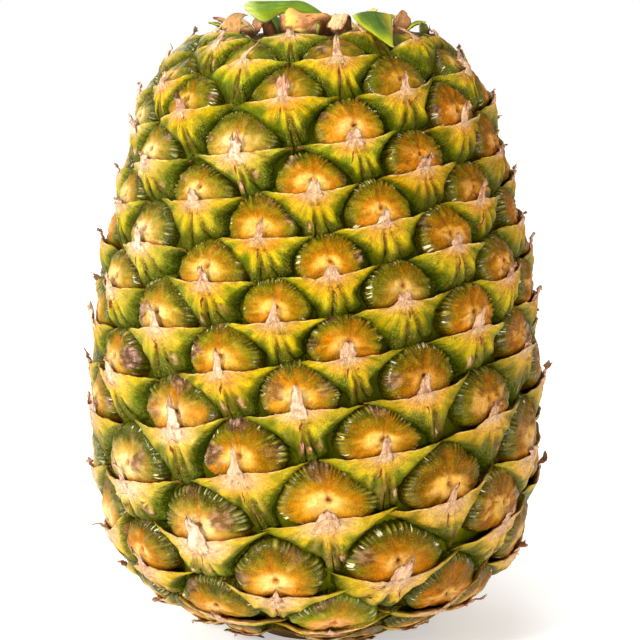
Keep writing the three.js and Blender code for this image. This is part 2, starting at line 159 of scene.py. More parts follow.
# ------------------------------------------------------------------ the surface
def _table():
    p = np.array(MERIDIAN, float)
    t = np.concatenate([[0], np.cumsum(np.hypot(*np.diff(p, axis=0).T))])
    s = np.linspace(0, t[-1], 1601)
    r, z = pchip(t, p[:, 0], s), pchip(t, p[:, 1], s)
    step = np.hypot(np.diff(r), np.diff(z))
    w = np.concatenate([[0], np.cumsum(2 * step / (r[1:] + r[:-1]))])
    w = w - w[np.argmax(z >= MID_HEIGHT)]
    dr, dz = np.gradient(r), np.gradient(z)
    k = np.ones(21) / 21  # the normals turn smoothly along the meridian
    dr = np.convolve(np.pad(dr, 10, mode="edge"), k, "valid")
    dz = np.convolve(np.pad(dz, 10, mode="edge"), k, "valid")
    n = np.hypot(dr, dz)
    return dict(r=r, z=z, w=w, nr=dz / n, nz=-dr / n)


TABLE = _table()


def meridian(w):
    w = np.clip(w, TABLE["w"][0], TABLE["w"][-1])
    return tuple(np.interp(w, TABLE["w"], TABLE[k]) for k in ("r", "z", "nr", "nz"))


def surface(bearing, w, lift=0.0):
    r, z, nr, nz = meridian(w)
    r = r + nr * lift
    return np.stack([r * np.sin(bearing), -r * np.cos(bearing), z + nz * lift], -1)


# ------------------------------------------------------------------ the spiral
def _rise_spline():
    x, y = np.array(RISE, float).T
    n, h = len(x), np.diff(x)
    a, l, mu, q, c = np.zeros(n), np.ones(n), np.zeros(n), np.zeros(n), np.zeros(n)
    for i in range(1, n - 1):
        a[i] = 3 * (y[i + 1] - y[i]) / h[i] - 3 * (y[i] - y[i - 1]) / h[i - 1]
        l[i] = 2 * (x[i + 1] - x[i - 1]) - h[i - 1] * mu[i - 1]
        mu[i] = h[i] / l[i]
        q[i] = (a[i] - h[i - 1] * q[i - 1]) / l[i]
    for i in range(n - 2, -1, -1):
        c[i] = q[i] - mu[i] * c[i + 1]

    def at(v):
        i = int(np.clip(np.searchsorted(x, v) - 1, 0, n - 2))
        b = (y[i + 1] - y[i]) / h[i] - h[i] * (c[i + 1] + 2 * c[i]) / 3
        d = (c[i + 1] - c[i]) / (3 * h[i])
        t = v - x[i]
        if v < x[0]:
            return y[0] + b * t
        return y[i] + b * t + c[i] * t * t + (0 if v > x[-1] else d * t**3)

    return at


rise_at = _rise_spline()


def eye_place(n):
    m = n - 100
    b = SPIRAL_START + m * (DIVERGENCE + SPIRAL_DRIFT[0]) + SPIRAL_DRIFT[1] * m * m + SPIRAL_DRIFT[2] * m**3
    w = rise_at(n) - (SPIRAL_TILT[0] + SPIRAL_TILT[1] * (n - 110) / 75) * math.sin(math.radians(b))
    if n in EYE_SHIFT:
        b += EYE_SHIFT[n][0]
        w += EYE_SHIFT[n][1]
    elif 45 < n < 185:
        g = np.random.default_rng(9000 + n)  # the unseen eyes are as uneven as the rest
        b += g.normal(0, 1.4)
        w += g.normal(0, 0.016)
    return math.radians(b), w


ALL = np.arange(12, 236)
PLACE = np.array([eye_place(int(n)) if n not in MERGED else (0.0, -40.0) for n in ALL])


def wrap(a):
    return a - TAU * np.round(a / TAU)


def clip(poly, d, k):
    """The part of a polygon where p . d <= k."""
    out = []
    for i, p in enumerate(poly):
        q = poly[(i + 1) % len(poly)]
        a, b = p @ d - k, q @ d - k
        if a <= 0:
            out.append(p)
        if a * b < 0:
            out.append(p + (q - p) * (a / (a - b)))
    return out


class Eye:
    """One eye: its place, the directions to its neighbours and its cell."""

    def __init__(self, n):
        self.n = n
        i = int(n - ALL[0])
        self.b, self.w = PLACE[i]
        self.r = float(meridian(self.w)[0])
        d = np.stack([wrap(PLACE[:, 0] - self.b), PLACE[:, 1] - self.w], -1) * self.r
        far = np.hypot(d[:, 0], d[:, 1])
        order = np.argsort(far)[1:13]
        self.near = d[order]
        poly = [np.array(p, float) for p in ((-60, -60), (60, -60), (60, 60), (-60, 60))]
        for v in self.near:
            poly = clip(poly, v / np.linalg.norm(v), np.linalg.norm(v) / 2)
        self.cell = np.array(poly)
        x, y = self.cell.T
        self.area = abs(np.dot(x, np.roll(y, -1)) - np.dot(y, np.roll(x, -1))) / 2
        self.s = math.sqrt(self.area) / 21.0
        a = np.arctan2(y, x)
        self.right = self.cell[np.argmin(np.abs(wrap(a - math.radians(6))))]
        self.left = self.cell[np.argmin(np.abs(wrap(a - math.radians(184))))]
        ar, al = math.atan2(self.right[1], self.right[0]), math.atan2(self.left[1], self.left[0]) % TAU
        low = sorted((p for p in self.cell if al + 0.2 < (math.atan2(p[1], p[0]) % TAU) < TAU + ar - 0.2), key=lambda p: math.atan2(p[1], p[0]) % TAU)
        if not low:
            low = [np.array([0, -12 * self.s])]
        self.low_left, self.low_right = low[0], low[-1]
        if len(low) == 1:
            self.low_left, self.low_right = low[0] + (-2.5, 0), low[0] + (2.5, 0)
        self.tall = min(float(v @ v) / 2 / v[1] for v in self.near if v[1] > 0.3 * np.linalg.norm(v))
        # relief fades towards the crown and under the base
        self.f = float(np.interp(self.w, [-1.95, -1.6, -1.2, 1.2, 1.5, 1.8], [0.3, 0.5, 1, 1, 0.75, 0.5]))
        self.g = np.random.default_rng(5000 + n)

    def xyz(self, x, y, lift):
        return surface(self.b + x / self.r, self.w + y / self.r, lift)


EYES = [Eye(n) for n in range(FIRST_EYE, LAST_EYE + 1) if n not in MERGED]

# ------------------------------------------------------------------ mesh making
LIGHTNESS = 0.80  # the tints are written as they look in the studio's light


class Pile:
    """Vertices, faces and attributes of one piece, added patch by patch (in mm)."""

    def __init__(self):
        self.v, self.f, self.m, self.col, self.loc, self.dat, self.uv, self.mark, self.count = [], [], [], [], [], [], [], [], 0

    def add(self, verts, faces, material, colour, loc, dat, uv, mark=None):
        self.v.append(verts)
        self.f.append(np.asarray(faces) + self.count)
        self.m.append(np.full(len(faces), material))
        self.col.append(colour)
        self.loc.append(loc)
        self.dat.append(dat)
        self.uv.append(uv)
        self.mark.append(np.zeros((len(verts), 3)) if mark is None else mark)
        self.count += len(verts)

    def build(self, name, materials):
        v = np.concatenate(self.v) * MM
        f = np.concatenate(self.f)
        me = bpy.data.meshes.new(name)
        me.vertices.add(len(v))
        me.vertices.foreach_set("co", v.astype(np.float32).ravel())
        me.loops.add(f.size)
        me.loops.foreach_set("vertex_index", f.astype(np.int32).ravel())
        me.polygons.add(len(f))
        me.polygons.foreach_set("loop_start", np.arange(0, f.size, 3, dtype=np.int32))
        me.polygons.foreach_set("material_index", np.concatenate(self.m).astype(np.int32))
        me.polygons.foreach_set("use_smooth", np.ones(len(f), bool))
        for m in materials:
            me.materials.append(m)
        c = np.concatenate([linear(np.concatenate(self.col)) * LIGHTNESS, np.ones((len(v), 1))], 1)
        a = me.attributes.new("Tint", "FLOAT_COLOR", "POINT")
        a.data.foreach_set("color", c.astype(np.float32).ravel())
        for label, data in (("Loc", self.loc), ("Dat", self.dat), ("Mark", self.mark)):
            a = me.attributes.new(label, "FLOAT_VECTOR", "POINT")
            a.data.foreach_set("vector", np.concatenate(data).astype(np.float32).ravel())
        uv = me.uv_layers.new(name="OFBake")
        uv.data.foreach_set("uv", np.concatenate(self.uv)[f.ravel()].astype(np.float32).ravel())
        me.update(calc_edges=True)
        me.validate()
        ob = bpy.data.objects.new(name, me)
        bpy.context.scene.collection.objects.link(ob)
        return ob


def fan(count, size, coarse):
    """Triangles of concentric rings about vertex 0; the first `coarse` rings have size / 2 points."""
    half = size // 2
    k = np.arange(half)
    l = (k + 1) % half
    faces = [np.stack([np.zeros(half, int), 1 + k, 1 + l], 1)]
    for i in range(coarse - 1):
        a, b = 1 + i * half, 1 + (i + 1) * half
        faces += [np.stack([a + k, b + k, b + l], 1), np.stack([a + k, b + l, a + l], 1)]
    a, b = 1 + (coarse - 1) * half, 1 + coarse * half
    far = (2 * k + 2) % size
    faces += [np.stack([a + k, b + 2 * k, b + 2 * k + 1], 1), np.stack([a + k, b + 2 * k + 1, a + l], 1), np.stack([a + l, b + 2 * k + 1, b + far], 1)]
    k = np.arange(size)
    l = (k + 1) % size
    for i in range(count - coarse - 1):
        a, b = 1 + coarse * half + i * size, 1 + coarse * half + (i + 1) * size
        faces += [np.stack([a + k, b + k, b + l], 1), np.stack([a + k, b + l, a + l], 1)]
    return np.concatenate(faces)


def ringed(a, coarse):
    """(rings, size, ...) data as a list, with every second point left out of the first rings."""
    rest = a.shape[2:]
    return np.concatenate([a[:coarse, ::2].reshape((-1,) + rest), a[coarse:].reshape((-1,) + rest)])


# ------------------------------------------------------------------ the eye's parts
CAP_RINGS = np.array([0.05, 0.12, 0.21, 0.31, 0.42, 0.53, 0.63, 0.72, 0.79, 0.85, 0.9, 0.945, 0.98, 1.0, 1.06])
CAP_COARSE = 5
CAP_PROFILE = ([0, .1, .2, .34, .46, .58, .68, .78, .86, .92, .965, 1.0], [.42, .46, .5, .54, .52, .44, .3, .04, -.36, -.86, -1.5, -2.5])


def cap_angles():
    upper = np.linspace(math.radians(-28), math.radians(208), 98, endpoint=False)
    lower = np.linspace(math.radians(208), math.radians(332), 12, endpoint=False)
    return np.concatenate([upper, lower])


PHI = cap_angles()


def cap(e, pile, tile):
    """The domed pad of an eye."""
    g, s, f = e.g, e.s, e.f
    t = e.tone
    mid = np.array([0.0, e.tall * 0.33])
    pit = np.array([g.normal(0.1, 0.3) * s, (2.7 + g.normal(0, 0.3)) * s])
    u = np.stack([np.cos(PHI), np.sin(PHI)], -1)
    reach = []
    for v in e.near:
        size = np.linalg.norm(v)
        d = v / size
        k = size / 2 + (e.swell + 0.75 * math.exp(-(((math.atan2(d[1], d[0]) - 0.72) / 0.5) ** 2))) * s - mid @ d
        dot = u @ d
        reach.append(np.where(dot > 0.05, k / np.maximum(dot, 0.05), 1e3))
    # the rounded outline that the pad would have with no neighbours
    half = 0.5 * (abs(e.left[0]) + abs(e.right[0])) * e.round
    mid_y, half_y = e.tall * 0.31, e.tall * 0.72
    qa = (u[:, 0] / half) ** 2 + (u[:, 1] / half_y) ** 2
    qb = 2 * u[:, 1] * (mid[1] - mid_y) / half_y**2
    qc = ((mid[1] - mid_y) / half_y) ** 2 - 1
    reach.append((-qb + np.sqrt(np.maximum(qb * qb - 4 * qa * qc, 1e-6))) / (2 * qa))
    reach.append(np.where(u[:, 1] < -0.05, (mid[1] + 2.6 * s) / np.maximum(-u[:, 1], 0.05), 1e3))
    p = 16
    R = (np.sum(np.maximum(np.array(reach), 0.5) ** -p, 0)) ** (-1 / p)
    mean = R.mean()
    ridges = round(TAU * mean / (e.tooth * math.sqrt(s)))
    seed = e.n * 7
    phase = PHI * ridges + 5.0 * noise(PHI * 2.3, e.n * 1.7, seed) + 2.2 * noise(PHI * 8, e.n, seed + 1)
    upper = smooth(-24, -4, np.degrees(PHI)) * (1 - smooth(184, 204, np.degrees(PHI)))
    strength = np.clip(e.toothed + 1.1 * noise(PHI * 2.6, e.n * 3.1, seed + 3) + 0.3 * noise(PHI * 9, e.n, seed + 13), 0.08, 1.25)
    R = R * (1 + 0.022 * np.cos(phase) * upper * strength + 0.020 * noise(PHI * 2.2, e.n, seed + 2) + 0.012 * noise(PHI * 6, e.n, seed + 8))
    rho = CAP_RINGS[:, None] * np.ones_like(PHI)
    x = mid[0] + rho * R * np.cos(PHI)
    y = mid[1] + rho * R * np.sin(PHI)
    h = np.interp(CAP_RINGS, *CAP_PROFILE)[:, None] * np.ones_like(PHI)
    h[-1] = -4.4
    crest = np.maximum(np.cos(phase), -0.35)
    ramp_in = smooth(0.68 - 0.12 * e.toothed + 0.05 * noise(PHI * 7, e.n, seed + 9), 0.9, rho)
    teeth = crest * strength * upper * ramp_in * (1 - 0.5 * smooth(0.95, 1.0, rho))
    h = h + 0.46 * teeth
    # soft folds that run in from the rim
    folds = noise(PHI * 5.5, rho * 1.2, seed + 5) * smooth(0.25, 0.6, rho) + 0.5 * noise(PHI * 3.1, rho * 2.0, seed + 45) * smooth(0.15, 0.4, rho)
    h = h + 0.26 * folds + (0.36 * noise(x / 4.4, y / 4.4, seed + 4) + 0.20 * noise(x / 1.7, y / 1.7, seed + 15) + 0.07 * noise(x / 0.8, y / 0.8, seed + 6)) * smooth(0.05, 0.3, rho)
    dx, dy = x - pit[0], y - pit[1]
    lobe_l = bump(np.hypot(dx + 0.30 * half, (dy - 0.8 * s) * 1.0), 0.34 * half)
    lobe_r = bump(np.hypot(dx - 0.28 * half, (dy - 0.5 * s) * 1.0), 0.29 * half)
    lobes = lobe_l * e.lobe[0] + lobe_r * e.lobe[1]
    h = h + 0.42 * lobes
    # the seam where two sepals meet above the pit, and the fold of the lower one
    off = dx - e.seam * dy - 0.3 * s * noise(dy / 1.6, e.n, seed + 16)
    seam = bump(off, (0.32 + 0.10 * np.clip(dy / s, 0, 6)) * s) * smooth(0.1, 0.9, dy) * (1 - smooth(0.66, 0.86, rho))
    h = h - 0.36 * seam
    side = -1 if e.fold_left else 1
    fx = dx * side
    line = -0.30 * fx - 0.15 * s + 0.016 * fx * fx + 0.25 * noise(fx / 2.0, e.n, seed + 12)
    fold = bump(dy - line, 0.34 * s) * smooth(0.2, 1.0, fx) * (1 - smooth(5.2 * s, 7.2 * s, fx))
    h = h - 0.36 * fold * e.fold_deep
    pleat = noise(x / 2.6, y / 2.0, seed + 71) + 0.35 * noise(x / 1.1, y / 1.1, seed + 72)
    aged = (0.2 + 0.8 * float(smooth(0.2, 0.75, math.sin(wrap(e.b))))) * smooth(0.1, 0.24, rho) * (1 - smooth(0.52, 0.72, rho + 0.12 * noise(PHI * 2.1, e.n, seed + 73)))
    crack = (1 - smooth(0.02, 0.13, np.abs(pleat))) * aged
    h = h - 0.30 * crack + 0.30 * np.clip(pleat, -0.5, 0.6) * aged
    hole = 1.0 * s
    h = h - 0.75 * bump(np.hypot(dx, dy - hole), 0.75 * s) - 0.06 * (dy / s)
    deep = f * (0.55 + 0.45 * s)
    xyz = e.xyz(x, y, h * deep)
    gap = mid - pit - (0, hole)
    h0 = 0.42 + 0.42 * float(lobes[0].mean()) - 0.75 * math.exp(-float(gap @ gap) / (0.75 * s) ** 2)
    c0 = e.xyz(np.array([mid[0]]), np.array([mid[1]]), np.array([h0 * deep]))
    verts = np.concatenate([c0, ringed(xyz, CAP_COARSE)])
    # ---- colour
    n1 = fbm(x / 3.0, y / 3.0, seed + 11)
    n2 = fbm(x / 1.0, y / 1.0, seed + 14)
    radial = noise(PHI * 8.5, rho * 1.6, seed + 17) * smooth(0.3, 0.7, rho)
    rr = np.hypot(rho, 0.0) + (0.10 * n1 + 0.06 * n2) * smooth(0.1, 0.4, rho) * (1 - 0.5 * smooth(0.85, 1, rho)) + e.pale_shift
    # The cos(PHI - 1.0) term darkens the upper right of each pad: painted shade, as if lit from the left.
    rr = rr + 0.065 - 0.12 * lobes + 0.08 * radial + (0.18 * np.sin(PHI) + 0.05 * np.cos(PHI - 1.0)) * smooth(0.05, 0.5, rho)
    rr = rr + (0.10 + 0.10 * max(0.0, math.sin(wrap(e.b)))) * bump(dx - 0.3 * s, 3.2 * s) * smooth(1.8 * s, 4.6 * s, dy)
    tones = [t[k] for k in ("cream", "gold", "amber", "olive", "rim", "deep")]
    cream, gold, amber, olive, rim, dark = tones
    col = ramp([(0.0, cream), (0.18, cream), (0.36, gold), (0.54, amber), (0.72, olive), (0.86, rim), (0.96, dark), (1.0, dark)], rr)
    # the ripe flush above the seam and in patches
    flush = smooth(0.05, 0.7, fbm(x / 4.2 + 3, y / 4.2, seed + 21) + t["flush"]) * smooth(0.2, 0.42, rho) * (1 - smooth(0.7, 0.9, rho))
    col = mixc(col, t["orange"], 0.6 * flush)
    patch = bump(off, 1.5 * s) * smooth(2.4 * s, 3.8 * s, dy) * (1 - smooth(0.66, 0.84, rho))
    col = mixc(col, t["orange"], 0.55 * patch * e.patch)
    col = mixc(col, (176, 92, 14), 0.40 * smooth(0.15, 0.8, seam) * (0.7 + 0.6 * n2))
    crescent = smooth(-0.1, 0.6, line - dy) * smooth(0.2, 1.6, fx) * (1 - smooth(7.0 * s, 9.0 * s, fx))
    col = mixc(col, mixc(t["crescent"], t["orange"], 0.5 + 0.6 * n1), (0.75 - 0.35 * e.low) * crescent * e.fold_deep)
    col = mixc(col, (134, 76, 14), 0.55 * fold * e.fold_deep)
    # greener translucent skin towards the rim; the paler crests of the teeth are partly glassy skin and partly a
    # painted highlight, and the gullies between them are darkened as painted shade
    col = mixc(col, t["green"], 0.42 * smooth(0.62, 0.86, rho) * smooth(-0.3, 0.6, noise(PHI * 2.7, e.n, seed + 23) + 0.5 * radial))
    top = smooth(0.1, 0.9, crest) * upper * smooth(0.76, 0.86, rho) * (1 - smooth(0.94, 1.0, rho))
    col = mixc(col, t["glass_and_glint"], 0.46 * top * strength)
    gully = smooth(0.0, 0.35, -np.cos(phase)) * upper * ramp_in
    col = mixc(col, dark, 0.75 * gully * strength)
    # scuffed, greyish mauve skin
    for cx, cy, size, amount in e.scuffs:
        d = np.hypot(x - cx, (y - cy)) / size + 0.45 * n2 + 0.35 * n1
        m = 1 - smooth(0.7, 1.05, d)
        tone = mixc((84, 50, 38), (174, 132, 116), smooth(-0.3, 0.5, noise(x / 1.1, y / 1.1, seed + 31) + 0.5 * fbm(x / 0.55, y / 0.55, seed + 32)))
        col = mixc(col, tone, m * min(1.0, amount * 1.05) * (1 - smooth(0.97, 1.0, rho)))
    # creases run out from the pit between the soft folds; the creases are darkened as painted shade and the fold tops
    # paled as painted highlight
    groove = smooth(0.30, 0.62, -folds) * smooth(0.2, 0.4, rho) * (1 - smooth(0.72, 0.9, rho))
    col = mixc(col, t["amber"] * 0.72, 0.42 * groove)
    col = mixc(col, np.minimum(t["cream"] * 1.03, 255), 0.30 * smooth(0.25, 0.6, folds) * smooth(0.16, 0.3, rho) * (1 - smooth(0.5, 0.75, rho)))
    lower = 1 - smooth(2.2 * s, 5.0 * s, dy)
    pale = np.minimum(t["cream"] * (1.04, 1.04, 1.15), 255)
    col = mixc(col, pale + (np.array((240, 198, 142)) - pale) * 0.6 * e.turned, (0.5 + 0.15 * e.turned) * aged * lower * smooth(0.02, 0.4, pleat))
    # Painted shade: the upper pad of eyes turned to the right is darkened, as if turned away from the light.
    col = mixc(col, (118, 74, 2), 0.5 * e.turned * (1 - lower) * (1 - smooth(0.7, 0.9, rho)))
    col = mixc(col, (160, 92, 0), 0.46 * (1 - abs(math.sin(wrap(e.b)))) * (1 - e.low) * bump(dx - 0.2 * s, 2.4 * s) * bump(dy - 4.3 * s, 1.8 * s))
    col = mixc(col, (134, 72, 14), 0.72 * crack)
    warm = bump(PHI - 0.95, 0.62) * smooth(0.38, 0.55, rho) * (1 - smooth(0.8, 0.95, rho)) * (1 - min(1.0, 1.6 * max(0.0, -math.sin(wrap(e.b))))) * (1 - 0.5 * e.turned)
    col = mixc(col, (152, 84, 0), 0.42 * warm)
    speck = smooth(0.60, 0.8, fbm(x / 0.75, y / 0.75, seed + 41))
    col = mixc(col, (132, 72, 18), 0.5 * speck * smooth(0.2, 0.5, rho))
    # The rim's dark olive deepens as painted shade where the pad turns down into the groove, darkest on the last ring.
    col = mixc(col, dark, smooth(0.955, 1.0, rho))
    col[-1] = mixc(col[-1], (56, 62, 3), np.full(len(PHI), 0.85))
    # shade where the bract's edge presses on the pad
    under = 1 - smooth(-0.1, 1.0 * s, y - bract_edge(e, x))
    col = mixc(col, (138, 74, 12), 0.7 * under)
    col *= (1 + 0.06 * n2)[..., None]
    # ---- attributes
    loc = np.stack([off, dy - hole, np.full_like(x, e.n)], -1)
    dat = np.stack([rho, np.maximum(crest, 0) * strength * upper * ramp_in, PHI * 9 + 0 * rho], -1)
    mark = np.stack([x, y, np.full_like(x, e.pit)], -1)
    first = lambda v: np.array([v], float)
    ring = ((np.arange(len(CAP_RINGS)) + 1) ** 0.9 / (len(CAP_RINGS) + 1) ** 0.9)[:, None]
    q = np.concatenate([[[0, 0]], ringed(np.stack([ring * np.cos(PHI), ring * np.sin(PHI)], -1), CAP_COARSE)])
    pile.add(
        verts, fan(len(CAP_RINGS), len(PHI), CAP_COARSE), 0,
        np.concatenate([first(col[0].mean(0)), ringed(col, CAP_COARSE)]),
        np.concatenate([first([mid[0] - pit[0], mid[1] - pit[1] - hole, e.n]), ringed(loc, CAP_COARSE)]),
        np.concatenate([first([0, 0, 14]), ringed(dat, CAP_COARSE)]),
        tile(0.30, 0.715, 0.28, 0.265, q),
        np.concatenate([first([mid[0], mid[1], e.pit]), ringed(mark, CAP_COARSE)]),
    )


def bract_edge(e, x):
    """Height of the bract's upper edge at x, in the eye's own frame."""
    s = e.s
    out = np.zeros_like(x)
    for side, wing in ((1, e.wing_r), (-1, e.wing_l)):
        t = np.clip(x * side / abs(wing[0]), 0, 1.3)
        y = -0.4 * s * np.sin(math.pi * np.clip(t * 1.3, 0, 1)) * e.dip[side > 0] + wing[1] * np.power(t, 1.5)
        out = np.where(x * side >= 0, y, out)
    rough = 0.26 * noise(x / (2.1 * s), e.n * 2.3, e.n + 77) + 0.14 * noise(x / (0.8 * s), e.n * 1.3, e.n + 78)
    return out + s * rough * smooth(0.6, 2.4, np.abs(x))


BRACT_RINGS = np.array([0.1, 0.2, 0.31, 0.42, 0.52, 0.61, 0.69, 0.765, 0.83, 0.885, 0.93, 0.97, 1.0])
BRACT_COARSE = 4


def curve(a, b, inward, amount, count):
    """Points from a towards b (b left out), bowed by amount along inward."""
    t = np.linspace(0, 1, count, endpoint=False)
    return a + (b - a) * t[:, None] + np.outer(4 * t * (1 - t) * amount, inward)


def bract_outline(e):
    """The scale's outline as angles and distances about its centre, and its ribs."""
    g, s = e.g, e.s
    pl, pr = e.low_left * e.prong[0] + (0.7 * s, 0), e.low_right * e.prong[1] + np.array([1.0 - 0.5 * e.low, 0.8]) * s
    mid = (pl + pr) / 2 + (-0.3 * s, -0.4 * s)
    centre = np.array([0.25 * mid[0], -4.0 * s])
    k = np.linspace(1, -1, 37)
    xs = np.where(k > 0, e.wing_r[0], e.wing_l[0]) * np.abs(k) ** 1.1
    top = np.stack([xs, bract_edge(e, xs)], -1)
    cl = pl + np.array([g.normal(-1.5, 0.35), g.uniform(2.6, 4.2)]) * s
    cr = pr + np.array([g.normal(-0.7, 0.35), g.uniform(3.2, 4.6)]) * s
    inl = -(cl + e.wing_l)
    inl = inl / np.linalg.norm(inl)
    inr = -(cr + e.wing_r)
    inr = inr / np.linalg.norm(inr)
    left = curve(top[-1], cl, inl, (g.uniform(0.1, 1.0) + 0.6 * e.concave) * s, 13)[1:]
    right = curve(cr, top[0], inr, (g.uniform(0.4, 1.3) + 0.6 * e.concave) * s, 13)[1:]
    lobe = mid + np.array([g.normal(0.2, 0.35), -0.35 + g.normal(0, 0.25)]) * s
    q1 = pl + (lobe - pl) * g.uniform(0.42, 0.55) + (0, -0.1 * s)
    q2 = lobe + (pr - lobe) * g.uniform(0.40, 0.55)
    w = 0.22 * s

    def cut(q, keep):
        d = q - centre
        n = np.array([-d[1], d[0]]) / np.linalg.norm(d)
        return [q - n * w, centre + d * keep, q + n * w]

    k1, k2 = g.uniform(0.30, 0.55), g.uniform(0.44, 0.74)
    round_ = e.rounded * s
    bottom = [
        cl, pl + (-0.45 * s - 0.4 * round_, 1.0 * s), pl + (-0.1 * round_, 0.1 * s + 0.15 * round_), pl * 0.5 + q1 * 0.5 + (0, -0.25 * round_), *cut(q1, k1),
        q1 * 0.5 + lobe * 0.5 + (0, -0.15 * round_), lobe, lobe * 0.5 + q2 * 0.5 + (0, -0.2 * round_), *cut(q2, k2),
        q2 * 0.5 + pr * 0.5 + (0, -0.2 * round_), pr + (-0.4 * s, -0.15 * s), pr + (0.25 * s + 0.3 * round_, 0.5 * s + 0.2 * round_), cr,
    ]
    out = np.concatenate([top, left, np.array(bottom), right])
    d = out - centre
    a = np.arctan2(d[:, 1], d[:, 0])
    a = a[0] + np.concatenate([[0], np.cumsum(wrap(np.diff(a)))])
    R = np.hypot(d[:, 0], d[:, 1])
    for i in range(1, len(a)):  # the outline never turns back on itself
        a[i] = max(a[i], a[i - 1] + 0.004)
    over = a[-1] - (a[0] + TAU - 0.004)
    if over > 0:
        a = a[0] + (a - a[0]) * (TAU - 0.004) / (a[-1] - a[0])
    teeth = 1 + 0.045 * noise(np.arange(len(a)) * 1.37, e.n * 5.1, e.n) + 0.028 * noise(np.arange(len(a)) * 0.41, e.n * 5.1, e.n + 1)
    teeth[: len(top)] = 1
    R = R * teeth
    e.centre = centre
    e.out = centre + R[:, None] * np.stack([np.cos(a), np.sin(a)], -1)
    e.top_count = len(top)
    down = lambda q: math.atan2(q[0], -(q[1] - 1.3 * s))
    al, ar = down(e.wing_l * 0.9), down(e.wing_r * 0.9)
    pa, ma, ra = down(pl + (0.6 * s, 0)), down(lobe), down(pr + (-0.7 * s, 0))
    e.ribs = [
        (al * 0.97, 0.17, 0.62), (pa, 0.15, g.uniform(0.7, 1.0)), (ma, 0.12, g.uniform(0.3, 0.75)), (ra, 0.16, g.uniform(0.5, 0.85)), (ar * 0.97, 0.20, 0.95),
        (al * 0.45 + pa * 0.55 + g.normal(0, 0.06), 0.13, g.uniform(0.1, 0.6)), (ar * 0.5 + ra * 0.5 + g.normal(0, 0.06), 0.13, g.uniform(0.1, 0.6)),
    ]
    e.crease_at = (pa + ma) / 2, (ma + ra) / 2
    e.fingers = (pl + (0.5 * s, 0.4 * s), lobe, pr + (-0.5 * s, 0.3 * s))


def shield(e, x, y):
    """Height of the bract's face, how ridged it is, and polar places about its tip."""
    s = e.s
    X, Y = x / (12.5 * s), y / (12.5 * s)
    h = np.interp(-Y, [-0.6, 0, 0.2, 0.45, 0.7, 1.0], [1.55, 1.7, 1.6, 1.05, 0.15, -1.05])
    h = h - 2.0 * np.abs(X) ** 1.7 * (0.75 + 0.25 * smooth(0, 0.5, -Y))
    a = np.arctan2(x, -(y - 1.3 * s))
    far = np.hypot(x, y - 1.3 * s)
    relief = np.zeros_like(far)
    for at, width, amount in e.ribs:
        relief = np.maximum(relief, amount * bump(a - at, width))
    bend = 0.35 * noise(far / 3.2, a * 1.2, e.n + 300)
    pleats = 0.34 * noise(a * 5.2 + bend, far / 9, e.n + 301) + 0.22 * noise(a * 11 + bend, far / 7, e.n + 302)
    relief = relief * smooth(1.2, 4.5, far) * (1 - 0.3 * smooth(9.5 * s, 13 * s, far)) + pleats * smooth(1.5, 5.0, far)
    return h + 0.72 * (relief - 0.3 * smooth(1.2, 4.5, far)), relief, a, far


